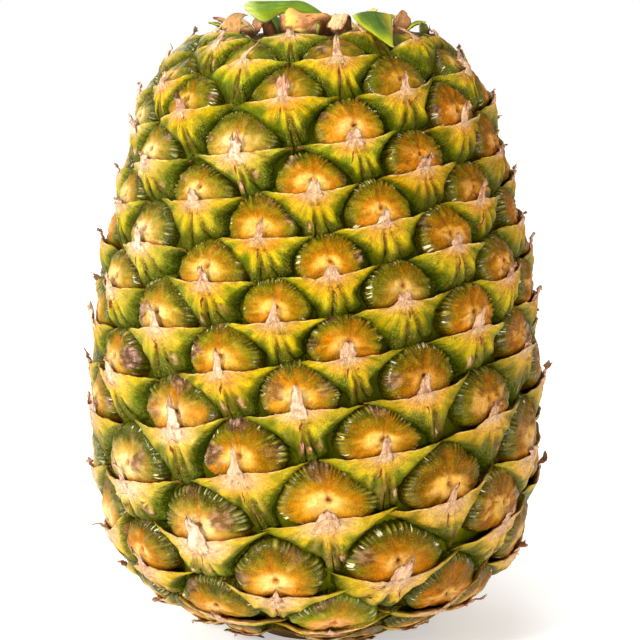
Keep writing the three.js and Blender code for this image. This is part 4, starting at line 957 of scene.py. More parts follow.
        e.scuffs = SCUFFS[e.n]
    else:
        e.scuffs = []
        for _ in range(g.choice([0, 1, 2], p=[0.35, 0.45, 0.2])):
            a = math.radians(g.uniform(-10, 190))
            e.scuffs.append((9.0 * s * math.cos(a), 4 * s + 7.5 * s * math.sin(a), g.uniform(1.4, 2.8 + 1.0 * low) * s, g.uniform(0.35, 0.9)))
    bract_outline(e)
    x0, y0 = g.normal(0.1, 0.5) * s, -(0.5 * e.fibre + g.uniform(1.2, 2.4) * s)
    e.slit = ((x0, y0, x0 + g.normal(0.1, 0.7) * s, y0 - g.uniform(2.4, 5.6) * s), float(np.clip(g.normal(0.6, 0.4), 0, 1)))
    e.scars = []
    for i, chance in ((0, 0.15 + 0.4 * low - 0.2 * right), (1, 0.08 + 0.3 * low), (2, 0.2 + 0.5 * low - 0.2 * right)):
        if g.random() < chance:
            q = e.fingers[i] * g.uniform(0.72, 0.86)
            e.scars.append((q[0], q[1], g.uniform(0.45, 0.8) * s, g.uniform(1.2, 2.0 + 1.2 * low) * s, math.atan2(q[1], q[0]) + math.pi / 2 + g.normal(0, 0.12)))


def tile_of(i):
    """Places a patch's own square (-1..1) in the tile of eye i of its piece."""
    cx, cy = (i % 5) * 0.2, (i // 5) * 0.2

    def put(x, y, hx, hy, q):
        return np.stack([cx + 0.2 * (x + hx * q[:, 0]), cy + 0.2 * (y + hy * q[:, 1])], -1)

    return put


# ------------------------------------------------------------------ materials
def nodes_of(name):
    m = bpy.data.materials.new(name)
    m.use_nodes = True
    nt = m.node_tree
    nt.nodes.clear()
    out = nt.nodes.new("ShaderNodeOutputMaterial")
    p = nt.nodes.new("ShaderNodeBsdfPrincipled")
    nt.links.new(p.outputs[0], out.inputs[0])
    return m, nt, p


def node(nt, kind, **values):
    n = nt.nodes.new(kind)
    for k, v in values.items():
        if hasattr(n, k):
            setattr(n, k, v)
        else:
            n.inputs[k].default_value = v
    return n


def attr(nt, name):
    n = nt.nodes.new("ShaderNodeAttribute")
    n.attribute_name = name
    return n


def maths(nt, op, a, b=None, clamp=False):
    n = nt.nodes.new("ShaderNodeMath")
    n.operation = op
    n.use_clamp = clamp
    for i, v in enumerate((a, b)):
        if v is None:
            continue
        if isinstance(v, (int, float)):
            n.inputs[i].default_value = v
        else:
            nt.links.new(v, n.inputs[i])
    return n.outputs[0]


def mapped(nt, value, a, b, c=0.0, d=1.0):
    n = nt.nodes.new("ShaderNodeMapRange")
    n.interpolation_type = "SMOOTHSTEP"
    nt.links.new(value, n.inputs["Value"])
    for k, v in (("From Min", a), ("From Max", b), ("To Min", c), ("To Max", d)):
        n.inputs[k].default_value = v
    return n.outputs[0]


def blend(nt, factor, a, b, mode="MIX"):
    n = nt.nodes.new("ShaderNodeMix")
    n.data_type = "RGBA"
    n.blend_type = mode
    n.clamp_factor = True
    if isinstance(factor, (int, float)):
        n.inputs[0].default_value = factor
    else:
        nt.links.new(factor, n.inputs[0])
    for i, v in ((6, a), (7, b)):
        if isinstance(v, tuple):
            n.inputs[i].default_value = (*linear(v), 1)
        else:
            nt.links.new(v, n.inputs[i])
    return n.outputs[2]


def noise_tex(nt, vector, scale, detail=3.0, rough=0.55, distort=0.0):
    n = nt.nodes.new("ShaderNodeTexNoise")
    nt.links.new(vector, n.inputs["Vector"])
    n.inputs["Scale"].default_value = scale
    n.inputs["Detail"].default_value = detail
    n.inputs["Roughness"].default_value = rough
    n.inputs["Distortion"].default_value = distort
    return n.outputs[0]


def scaled(nt, vector, xyz):
    n = nt.nodes.new("ShaderNodeVectorMath")
    n.operation = "MULTIPLY"
    nt.links.new(vector, n.inputs[0])
    n.inputs[1].default_value = xyz
    return n.outputs[0]


def split(nt, vector):
    n = nt.nodes.new("ShaderNodeSeparateXYZ")
    nt.links.new(vector, n.inputs[0])
    return n.outputs


def bumped(nt, p, height, strength, distance):
    n = nt.nodes.new("ShaderNodeBump")
    n.inputs["Strength"].default_value = strength
    n.inputs["Distance"].default_value = distance
    nt.links.new(height, n.inputs["Height"])
    nt.links.new(n.outputs[0], p.inputs["Normal"])


def vary(nt, colour, value, amount):
    """Colour times 1 +- amount, by a 0..1 value."""
    f = maths(nt, "MULTIPLY_ADD", value, 2 * amount)
    f.node.inputs[2].default_value = 1 - amount
    v = nt.nodes.new("ShaderNodeVectorMath")
    v.operation = "SCALE"
    nt.links.new(colour, v.inputs[0])
    nt.links.new(f, v.inputs["Scale"])
    return v.outputs[0]


def vary_by(nt, colour, value, amount):
    """Colour times 1 +- amount, where the amount is itself a socket."""
    f = maths(nt, "MULTIPLY", maths(nt, "SUBTRACT", value, 0.5), maths(nt, "MULTIPLY", amount, 2.0))
    v = nt.nodes.new("ShaderNodeVectorMath")
    v.operation = "SCALE"
    nt.links.new(colour, v.inputs[0])
    nt.links.new(maths(nt, "ADD", f, 1.0), v.inputs["Scale"])
    return v.outputs[0]


def plus(nt, *terms):
    """Sum of (value, share) terms."""
    total = None
    for value, share in terms:
        t = maths(nt, "MULTIPLY", value, share)
        total = t if total is None else maths(nt, "ADD", total, t)
    return total


def pad_material():
    m, nt, p = nodes_of("pineapple_pad")
    tc = nt.nodes.new("ShaderNodeTexCoord").outputs["Object"]
    tint = attr(nt, "Tint").outputs["Color"]
    rho, crest, turn = split(nt, attr(nt, "Dat").outputs["Vector"])
    dx, dy, number = split(nt, attr(nt, "Loc").outputs["Vector"])
    _, _, power = split(nt, attr(nt, "Mark").outputs["Vector"])
    fine = noise_tex(nt, tc, 1700, 3, 0.6)
    mid = noise_tex(nt, tc, 640, 3, 0.62)
    # short fibres that run in from the rim
    polar = nt.nodes.new("ShaderNodeCombineXYZ")
    for i, v in enumerate((maths(nt, "MULTIPLY", turn, 1.35), maths(nt, "MULTIPLY", rho, 2.6), maths(nt, "MULTIPLY", number, 3.7))):
        nt.links.new(v, polar.inputs[i])
    ray = noise_tex(nt, polar.outputs[0], 1.0, 3, 0.6)
    outer = mapped(nt, rho, 0.60, 0.92)
    col = vary(nt, tint, mid, 0.46)
    col = vary_by(nt, col, ray, plus(nt, (outer, 0.56), (mapped(nt, rho, 0.1, 0.3), 0.22)))
    col = vary(nt, col, fine, 0.36)
    # pale grain of the skin's cells, and small brown dots
    grain = mapped(nt, noise_tex(nt, tc, 2800, 2, 0.6), 0.56, 0.66)
    col = blend(nt, maths(nt, "MULTIPLY", grain, 0.13), col, (255, 216, 70))
    # Painted glints: short pale dashes on the beads near the rim.
    beads = nt.nodes.new("ShaderNodeCombineXYZ")
    for i, v in enumerate((maths(nt, "MULTIPLY", turn, 1.9), maths(nt, "MULTIPLY", rho, 4.0), maths(nt, "MULTIPLY", number, 5.1))):
        nt.links.new(v, beads.inputs[i])
    painted_glint_dash = mapped(nt, noise_tex(nt, beads.outputs[0], 1.0, 1, 0.5), 0.62, 0.66)
    zone = maths(nt, "MULTIPLY", mapped(nt, rho, 0.80, 0.86), mapped(nt, rho, 0.985, 0.95))
    some = mapped(nt, noise_tex(nt, scaled(nt, beads.outputs[0], (0.16, 0.0, 1.7)), 1.0, 1, 0.5), 0.46, 0.60)
    col = blend(nt, maths(nt, "MULTIPLY", maths(nt, "MULTIPLY", painted_glint_dash, zone), maths(nt, "MULTIPLY", some, 0.7)), col, (252, 248, 200))
    dot = mapped(nt, noise_tex(nt, tc, 1000, 2), 0.69, 0.75)
    col = blend(nt, maths(nt, "MULTIPLY", dot, 0.6), col, (140, 74, 14))
    # the pit, a torn brown spot at the middle
    wx = plus(nt, (dx, 1.0), (maths(nt, "SUBTRACT", mid, 0.5), 1.4))
    wy = plus(nt, (dy, 1.0), (maths(nt, "SUBTRACT", fine, 0.5), 1.2))
    away = maths(nt, "SQRT", maths(nt, "ADD", maths(nt, "MULTIPLY", wx, wx), maths(nt, "MULTIPLY", wy, wy)))
    col = blend(nt, mapped(nt, away, 0.65, 1.25, 0.7, 0.0), col, (176, 106, 40))
    col = blend(nt, maths(nt, "MULTIPLY", mapped(nt, away, 0.25, 0.65, 0.9, 0.0), power), col, (60, 32, 14))
    nt.links.new(col, p.inputs["Base Color"])
    rough = plus(nt, (mid, 0.22), (fine, 0.10))
    rough = maths(nt, "ADD", rough, mapped(nt, rho, 0.45, 0.8, 0.20, 0.04), clamp=True)
    nt.links.new(rough, p.inputs["Roughness"])
    p.inputs["Specular IOR Level"].default_value = 0.12
    p.inputs["Specular Tint"].default_value = (1.0, 0.8, 0.1, 1)
    nt.links.new(mapped(nt, rho, 0.72, 0.90, 0.0, 0.35), p.inputs["Coat Weight"])
    p.inputs["Coat Roughness"].default_value = 0.05
    soft = nt.nodes.new("ShaderNodeBump")
    soft.inputs["Strength"].default_value = 0.5
    soft.inputs["Distance"].default_value = 0.0004
    nt.links.new(plus(nt, (ray, 0.8), (mid, 0.5)), soft.inputs["Height"])
    nt.links.new(soft.outputs[0], p.inputs["Coat Normal"])
    h = plus(nt, (mid, 0.8), (fine, 0.4), (maths(nt, "MULTIPLY", ray, outer), 0.9), (crest, 0.5))
    bumped(nt, p, h, 0.85, 0.0008)
    return m


def bract_material():
    m, nt, p = nodes_of("pineapple_bract")
    tc = nt.nodes.new("ShaderNodeTexCoord").outputs["Object"]
    tint = attr(nt, "Tint").outputs["Color"]
    loc = attr(nt, "Loc").outputs["Vector"]
    tt, collar, edge = split(nt, attr(nt, "Dat").outputs["Vector"])
    offs, along, power = split(nt, attr(nt, "Mark").outputs["Vector"])
    fine = noise_tex(nt, tc, 1900, 3, 0.6)
    mid = noise_tex(nt, tc, 700, 3, 0.62)
    # fibres and pleats spread from the tip
    vein = noise_tex(nt, scaled(nt, loc, (2.4, 0.30, 3.1)), 1.0, 3, 0.6)
    pleat = noise_tex(nt, scaled(nt, loc, (0.9, 0.14, 1.7)), 1.0, 2, 0.5)
    col = vary(nt, tint, mid, 0.36)
    col = vary(nt, col, vein, 0.28)
    col = vary(nt, col, pleat, 0.30)
    col = vary(nt, col, fine, 0.34)
    # feathered edges
    hair = noise_tex(nt, scaled(nt, loc, (3.4, 0.5, 5.3)), 1.0, 2, 0.6)
    comb = maths(nt, "MULTIPLY", mapped(nt, edge, 0.74, 0.97), mapped(nt, hair, 0.44, 0.58))
    col = blend(nt, maths(nt, "MULTIPLY", comb, 0.75), col, (66, 84, 4))
    # the dry collar: crumpled cream and brown skin
    crumple = noise_tex(nt, scaled(nt, loc, (1.5, 0.9, 2.9)), 1.0, 4, 0.65, 0.6)
    pale = maths(nt, "MULTIPLY", mapped(nt, crumple, 0.48, 0.62), maths(nt, "MULTIPLY", collar, 0.6))
    col = blend(nt, pale, col, (246, 216, 176))
    brown = maths(nt, "MULTIPLY", mapped(nt, crumple, 0.46, 0.34), maths(nt, "MULTIPLY", collar, 0.6))
    col = blend(nt, brown, col, (170, 110, 80))
    # whitish bloom in fine grains, denser in patches
    patch = mapped(nt, noise_tex(nt, tc, 170, 2), 0.40, 0.66)
    bloom = mapped(nt, noise_tex(nt, tc, 3200, 2, 0.6), 0.52, 0.68)
    col = blend(nt, maths(nt, "MULTIPLY", maths(nt, "MULTIPLY", patch, bloom), 0.30), col, (246, 232, 116))
    dots = mapped(nt, noise_tex(nt, tc, 1350, 2), 0.68, 0.74)
    col = blend(nt, maths(nt, "MULTIPLY", dots, 0.6), col, (150, 84, 18))
    # the reddish slit under the tip
    wob = maths(nt, "ABSOLUTE", plus(nt, (offs, 1.0), (maths(nt, "SUBTRACT", mid, 0.5), 1.3)))
    span = maths(nt, "MULTIPLY", mapped(nt, along, 0.0, 0.35), mapped(nt, along, 1.02, 0.6))
    wide = maths(nt, "ADD", maths(nt, "MULTIPLY", maths(nt, "MULTIPLY", span, power), 0.36), 0.001)
    inside = maths(nt, "DIVIDE", wob, wide)
    col = blend(nt, mapped(nt, inside, 1.5, 0.8, 0.0, 0.75), col, (196, 122, 70))
    cut = mapped(nt, inside, 0.85, 0.35)
    col = blend(nt, maths(nt, "MULTIPLY", cut, 0.9), col, (104, 50, 24))
    nt.links.new(col, p.inputs["Base Color"])
    rough = plus(nt, (mid, 0.28), (fine, 0.12))
    nt.links.new(maths(nt, "ADD", rough, 0.24), p.inputs["Roughness"])
    p.inputs["Specular IOR Level"].default_value = 0.18
    p.inputs["Specular Tint"].default_value = (1.0, 0.85, 0.15, 1)
    h = plus(nt, (vein, 0.55), (pleat, 1.0), (fine, 0.5), (mid, 0.9), (cut, -0.8), (comb, -0.5))
    bumped(nt, p, h, 0.9, 0.0008)
    return m


def paper_material():
    m, nt, p = nodes_of("pineapple_papery_tip")
    tc = nt.nodes.new("ShaderNodeTexCoord").outputs["Object"]
    tint = attr(nt, "Tint").outputs["Color"]
    loc = attr(nt, "Loc").outputs["Vector"]
    fibre = noise_tex(nt, scaled(nt, loc, (3.6, 0.8, 2.3)), 1.0, 4, 0.65, 0.3)
    blot = noise_tex(nt, scaled(nt, loc, (0.9, 0.7, 1.9)), 1.0, 3, 0.6)
    fine = noise_tex(nt, tc, 2100, 2)
    col = vary(nt, tint, fibre, 0.34)
    col = vary(nt, col, fine, 0.18)
    streak = mapped(nt, fibre, 0.56, 0.70)
    col = blend(nt, maths(nt, "MULTIPLY", streak, 0.5), col, (170, 108, 76))
    col = blend(nt, maths(nt, "MULTIPLY", mapped(nt, blot, 0.56, 0.68), 0.5), col, (150, 92, 62))
    pale = mapped(nt, fibre, 0.45, 0.34)
    col = blend(nt, maths(nt, "MULTIPLY", pale, 0.5), col, (255, 242, 224))
    nt.links.new(col, p.inputs["Base Color"])
    rough = maths(nt, "MULTIPLY_ADD", fine, 0.25)
    rough.node.inputs[2].default_value = 0.5
    nt.links.new(rough, p.inputs["Roughness"])
    p.inputs["Specular IOR Level"].default_value = 0.25
    h = plus(nt, (fibre, 1.0), (fine, 0.4), (blot, 0.6))
    bumped(nt, p, h, 0.85, 0.0005)
    return m


def leaf_material(name, along, rough_lo, spec, streak_rgb, streak_amount, bump_mm, gloss=(1, 1, 1), veins=0.36):
    """Leaf and bract skins: the tint plus parallel veins that run along Loc's y."""
    m, nt, p = nodes_of(name)
    tc = nt.nodes.new("ShaderNodeTexCoord").outputs["Object"]
    tint = attr(nt, "Tint").outputs["Color"]
    loc = attr(nt, "Loc").outputs["Vector"]
    vein = noise_tex(nt, scaled(nt, loc, (along, 0.16, 1.3)), 1.0, 3, 0.6)
    fine = noise_tex(nt, tc, 1500, 3)
    mid = noise_tex(nt, tc, 420, 3, 0.6)
    col = vary(nt, tint, vein, veins)
    col = vary(nt, col, mid, 0.22)
    col = vary(nt, col, fine, 0.12)
    streak = mapped(nt, vein, 0.58, 0.72)
    col = blend(nt, maths(nt, "MULTIPLY", streak, streak_amount), col, streak_rgb)
    nt.links.new(col, p.inputs["Base Color"])
    rough = maths(nt, "MULTIPLY_ADD", mid, 0.3)
    rough.node.inputs[2].default_value = rough_lo
    nt.links.new(rough, p.inputs["Roughness"])
    p.inputs["Specular IOR Level"].default_value = spec
    p.inputs["Specular Tint"].default_value = (*gloss, 1)
    h = maths(nt, "ADD", vein, maths(nt, "MULTIPLY", fine, 0.4))
    bumped(nt, p, h, 0.7, bump_mm * MM)
    return m


PAD, BRACT, PAPER = pad_material(), bract_material(), paper_material()
GREEN = leaf_material("leaf_green_skin", 1.1, 0.38, 0.3, (186, 200, 70), 0.3, 0.5, (1, 0.95, 0.6), veins=0.42)
TAN = leaf_material("leaf_tan_dry", 1.5, 0.55, 0.3, (132, 74, 32), 0.75, 0.9, veins=0.5)
DRY = leaf_material("leaf_brown_dry", 1.5, 0.55, 0.3, (92, 46, 18), 0.65, 0.9, veins=0.5)
BODY = leaf_material("groove_skin", 0.8, 0.7, 0.1, (40, 44, 4), 0.3, 0.4, (1, 0.85, 0.1))

# ------------------------------------------------------------------ the eyes' pieces
def put(ob, slot, *nodes):
    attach(ob, "root")
    if nodes:
        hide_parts(*nodes)
    return ob


piles = [Pile() for _ in range(8)]
used = [0] * 8
for e in EYES:
    describe(e)
for e in EYES:
    k = e.n % 8
    tile = tile_of(used[k])
    used[k] += 1
    cap(e, piles[k], tile)
    bract(e, piles[k], tile)
    tip(e, piles[k], tile)
for k, pile in enumerate(piles):
    for i, v in enumerate(pile.v):
        pile.v[i][:, 2] = np.maximum(v[:, 2], 0.12 + 0.02 * np.abs(v[:, 0] % 1))
    put(pile.build(f"eye_spiral_{k + 1}", [PAD, BRACT, PAPER]), "fruit_skin", "fruit_body")


# ------------------------------------------------------------------ the body under the eyes
def body():
    """Groove floor all round, the underside with its cut stem, and the crown bed."""
    around = 200
    th = np.linspace(0, TAU, around, endpoint=False)
    w = np.linspace(-2.30, 1.76, 96)
    depth = np.interp(w, [-2.3, -1.9, -1.5, -1.2, 1.2, 1.5, 1.76], [0.5, 1.6, 2.6, 4.0, 4.0, 2.9, 2.0])
    rows = []
    kinds = []
    for r, z in ((3.0, 0.35), (6.0, 0.2), (9.0, 0.15), (11.6, 0.1), (12.4, 0.0), (13.0, 0.5), (14.2, 0.55), (16.0, 0.05), (17.6, 0.0), (18.6, 0.25)):
        rows.append(np.stack([r * np.sin(th), -r * np.cos(th), np.full(around, z)], -1))
        kinds.append(0)
    for wi, di in zip(w, depth):
        d = di + 0.25 * noise(th * 20, wi * 18, 3)
        rows.append(surface(th, np.full(around, wi), -d))
        kinds.append(1)
    top = CROWN_BED
    for r in np.linspace(29.0, top["inner"] + 0.6, 16):
        z = np.interp(r, [top["inner"], top["rim"], 30], [top["height"] + 0.3, top["height"], top["height"] - 0.6])
        zz = z + 0.35 * noise(th * 11, r * 0.35, 8) + 0.25 * noise(th * 34, r * 0.2, 9)
        rows.append(np.stack([r * np.sin(th), -r * np.cos(th), zz], -1))
        kinds.append(2)
    for r, z in ((top["inner"], top["height"] + 0.1), (top["inner"] - 0.7, top["scar"] + 0.3), (top["inner"] - 1.5, top["scar"] - 0.1), (6.0, top["scar"]), (4.0, top["scar"] - 0.15), (2.0, top["scar"] - 0.2)):
        zz = z + 0.2 * noise(th * 6, r, 12)
        rows.append(np.stack([r * np.sin(th), -r * np.cos(th), zz], -1))
        kinds.append(3)
    v = np.concatenate([[[0, 0, 0.4]], np.concatenate(rows), [[0, 0, top["scar"] - 0.25]]])
    v[:, 2] = np.maximum(v[:, 2], 0.0)
    n = len(rows)
    faces = []
    k = np.arange(around)
    l = (k + 1) % around
    faces.append(np.stack([np.zeros(around, int), 1 + l, 1 + k], 1))
    for i in range(n - 1):
        a, b = 1 + i * around, 1 + (i + 1) * around
        faces += [np.stack([a + k, a + l, b + l], 1), np.stack([a + k, b + l, b + k], 1)]
    a = 1 + (n - 1) * around
    faces.append(np.stack([a + k, a + l, np.full(around, n * around + 1)], 1))
    f = np.concatenate(faces)
    kinds = np.concatenate([[0], np.repeat(kinds, around), [3]])
    bearing = np.arctan2(v[:, 0], -v[:, 1])
    rad = np.hypot(v[:, 0], v[:, 1])
    n1 = fbm(bearing * 9, v[:, 2] / 4, 21)
    n2 = noise(bearing * 40, rad / 5, 22)
    col = mixc((56, 64, 3), (96, 94, 6), 0.5 + 0.5 * n1)
    col = col * (1 + 0.35 * smooth(80, 30, v[:, 2]))[:, None]
    low = (kinds == 1) & (v[:, 2] < 12)
    col[low] = mixc(col[low], mixc((96, 62, 26), (58, 40, 14), 0.5 + 0.5 * n2[low]), np.clip((12 - v[low, 2]) / 7, 0, 1))
    stem = kinds == 0
    pale = mixc((206, 172, 116), (150, 104, 58), 0.5 + 0.5 * noise(v[:, 0] / 1.3, v[:, 1] / 1.3, 31))
    col[stem] = mixc(pale[stem], mixc((92, 58, 28), (122, 84, 44), 0.5 + 0.5 * n2[stem]), smooth(12.0, 13.0, rad[stem]))
    bed = kinds == 2
    # Brown fibre of the crown bed, darkened as painted shade between the leaves.
    col[bed] = mixc((48, 27, 8), (104, 66, 25), 0.5 + 0.5 * n2[bed])
    col[bed] = mixc(col[bed], (36, 18, 4), 0.6 * (0.5 + 0.5 * n1[bed]))
    scar = kinds == 3
    col[scar] = mixc((214, 184, 130), (150, 108, 60), 0.5 + 0.5 * noise(v[scar, 0] / 0.9, v[scar, 1] / 0.9, 33))
    loc = np.stack([bearing * 30, rad, kinds], -1)
    # map: the wall unrolled in the middle, the two ends as discs in the corners
    uv = np.zeros((len(v), 2))
    side = kinds == 1
    row = np.concatenate([[0], np.repeat(np.arange(n), around), [n]])
    uv[:, 0] = 0.02 + 0.96 * ((bearing / TAU) % 1.0)
    uv[:, 1] = 0.32 + 0.66 * (row - 10) / 96
    for mask, cx, size in ((stem, 0.15, 19.0), (bed | scar, 0.5, 30.0)):
        uv[mask] = np.stack([cx + 0.14 * v[mask, 0] / size, 0.15 + 0.14 * v[mask, 1] / size], -1)
    pile = Pile()
    pile.add(v, f, 0, col, loc, np.zeros_like(v), uv)
    ob = pile.build("fruit_core", [BODY])
    # no given map here: the seams of a revolve are better found by the exporter
    ob.data.uv_layers.remove(ob.data.uv_layers["OFBake"])
    return put(ob, "fruit_skin", "fruit_body")


body()


# ------------------------------------------------------------------ leaves
def catmull(points, t):
    """Points along a chain of stations, t from 0 to 1."""
    p = np.asarray(points, float)
    n = len(p) - 1
    x = np.clip(np.asarray(t) * n, 0, n - 1e-9)
    i = np.floor(x).astype(int)
    u = (x - i)[:, None]
    g = lambda k: p[np.clip(k, 0, n)]
    p0, p1, p2, p3 = g(i - 1), g(i), g(i + 1), g(i + 2)
    return 0.5 * (2 * p1 + (p2 - p0) * u + (2 * p0 - 5 * p1 + 4 * p2 - p3) * u**2 + (3 * p1 - p0 - 3 * p2 + p3) * u**3)


def leaf(name, stations, paint, material, slot, seed, camber=0.6, thickness=0.9, ragged=0.0, end_jag=0.0, wrinkle=0.2, sink=0.9, rows=40, cols=16, floor=None):
    """A leaf blade through stations [left edge, right edge], closed and thin-edged."""
    L = catmull([s[0] for s in stations], np.linspace(0, 1, rows + 1))
    R = catmull([s[1] for s in stations], np.linspace(0, 1, rows + 1))
    v = np.linspace(0, 1, rows + 1)[:, None]
    u = np.linspace(-1, 1, cols + 1)[None, :]
    width = np.linalg.norm(R - L, axis=1)[:, None]
    mid = (L + R) / 2
    tang = np.gradient(mid, axis=0)
    nrm = np.cross(tang, R - L)
    nrm = nrm / np.maximum(np.linalg.norm(nrm, axis=1), 1e-9)[:, None]
    for _ in range(3):
        nrm = np.concatenate([nrm[:1], (nrm[:-2] + 2 * nrm[1:-1] + nrm[2:]) / 4, nrm[-1:]])
    nrm = nrm / np.linalg.norm(nrm, axis=1)[:, None]
    # ragged sides pull in, never out
    pull = 1 - ragged * (0.5 + 0.5 * noise(v * 13, np.sign(u) * 2.0 + seed, seed)) * smooth(0.2, 0.5, v) * np.abs(u) ** 3
    uu = u * pull
    P = mid[:, None] + (R - L)[:, None] / 2 * uu[..., None]
    cut = end_jag * (0.5 + 0.5 * noise(u * 3.4, 0.3, seed + 4)) * smooth(0.6, 1, v)
    P = P - tang[:, None] * rows * cut[..., None]
    bow = camber * np.minimum(1, width / 8) * (1 - uu**2)
    bow = bow + wrinkle * (noise(uu * 1.8, v * 4, seed + 1) + 0.5 * noise(uu * 4.5, v * 3, seed + 2))
    P = P + nrm[:, None] * bow[..., None]
    half = 0.5 * thickness * np.sqrt(np.clip(1 - u**4, 0, 1)) * (1 - 0.55 * v) * np.sqrt(np.clip(1 - v**10, 0, 1))
    top, low = P + nrm[:, None] * half[..., None], P - nrm[:, None] * half[..., None]
    if sink:  # the root reaches down to what it grows from
        down = sink * (1 - smooth(0, 0.12, v))[..., None] * np.array([0, 0, -1.0])
        top, low = top + down, low + down
    r, c = rows + 1, cols + 1
    idx = np.arange(r * c).reshape(r, c)
    a, b, cc, d = idx[:-1, :-1].ravel(), idx[:-1, 1:].ravel(), idx[1:, 1:].ravel(), idx[1:, :-1].ravel()
    fr = np.concatenate([np.stack([a, b, cc], 1), np.stack([a, cc, d], 1)])
    share = np.zeros((r, c), bool)
    share[-1, :] = share[:, 0] = share[:, -1] = True
    o = r * c
    remap = np.where(share.ravel(), np.arange(o), o + np.arange(o))
    root = []
    for j in range(c - 1):
        p, q = idx[0, j], idx[0, j + 1]
        root += [(p, remap[p], q), (q, remap[p], remap[q])]
    root = np.array([t for t in root if len(set(t)) == 3])
    fall = np.concatenate([fr, remap[fr][:, ::-1], root])
    usedv = np.unique(fall)
    new = np.full(2 * o, -1)
    new[usedv] = np.arange(len(usedv))
    verts = np.concatenate([top.reshape(-1, 3), low.reshape(-1, 3)])[usedv]
    faces = new[fall]
    # outward faces
    tri = verts[faces]
    if np.einsum("ij,ij->i", tri[:, 0], np.cross(tri[:, 1], tri[:, 2])).sum() < 0:
        faces = faces[:, ::-1]
    U, V = np.broadcast_arrays(u, v)
    ct, cb = paint(U, V, P, seed)
    col = np.concatenate([ct.reshape(-1, 3), cb.reshape(-1, 3)])[usedv]
    length = np.concatenate([[0], np.cumsum(np.linalg.norm(np.diff(mid, axis=0), axis=1))])[:, None]
    lx, ly = np.broadcast_arrays(U * width / 2, length)
    lz = np.full_like(lx, seed)
    loc = np.concatenate([np.stack([lx, ly, lz], -1).reshape(-1, 3), np.stack([lx, ly, lz + 5], -1).reshape(-1, 3)])[usedv]
    uv = np.concatenate([np.stack([0.25 + 0.22 * U, 0.02 + 0.96 * V], -1).reshape(-1, 2), np.stack([0.75 + 0.22 * U, 0.02 + 0.96 * V], -1).reshape(-1, 2)])[usedv]
    pile = Pile()
    if floor is not None:
        verts[:, 2] = np.maximum(verts[:, 2], floor)
    pile.add(verts, faces, 0, col, loc, np.zeros_like(verts), uv)
    ob = pile.build(name + "_skin", [material])
    return put(ob, slot, name)


def sheet_paint(stops, edge, root, back, edge_width=0.14, blot=(120, 70, 30), blots=0.3):
    """Colour function of a leaf: stops across it, an edge colour and a root colour."""

    def paint(U, V, P, seed):
        n1 = fbm(U * 1.7, V * 4.5, seed + 50)
        n2 = fbm(U * 5, V * 11, seed + 60)
        c = ramp(stops, U + 0.25 * n1)
        c = mixc(c, edge, smooth(1 - edge_width * 2, 1 - edge_width * 0.4, np.maximum(np.abs(U), V) + 0.05 * n2))
        c = mixc(c, blot, blots * smooth(0.15, 0.6, n2))
        c = mixc(c, root, 1 - smooth(0.0, 0.3, V + 0.06 * n1))
        c = c * (1 + 0.05 * n2)[..., None]
        b = mixc(c, back, np.full(U.shape, 0.7))
        return c, b

    return paint


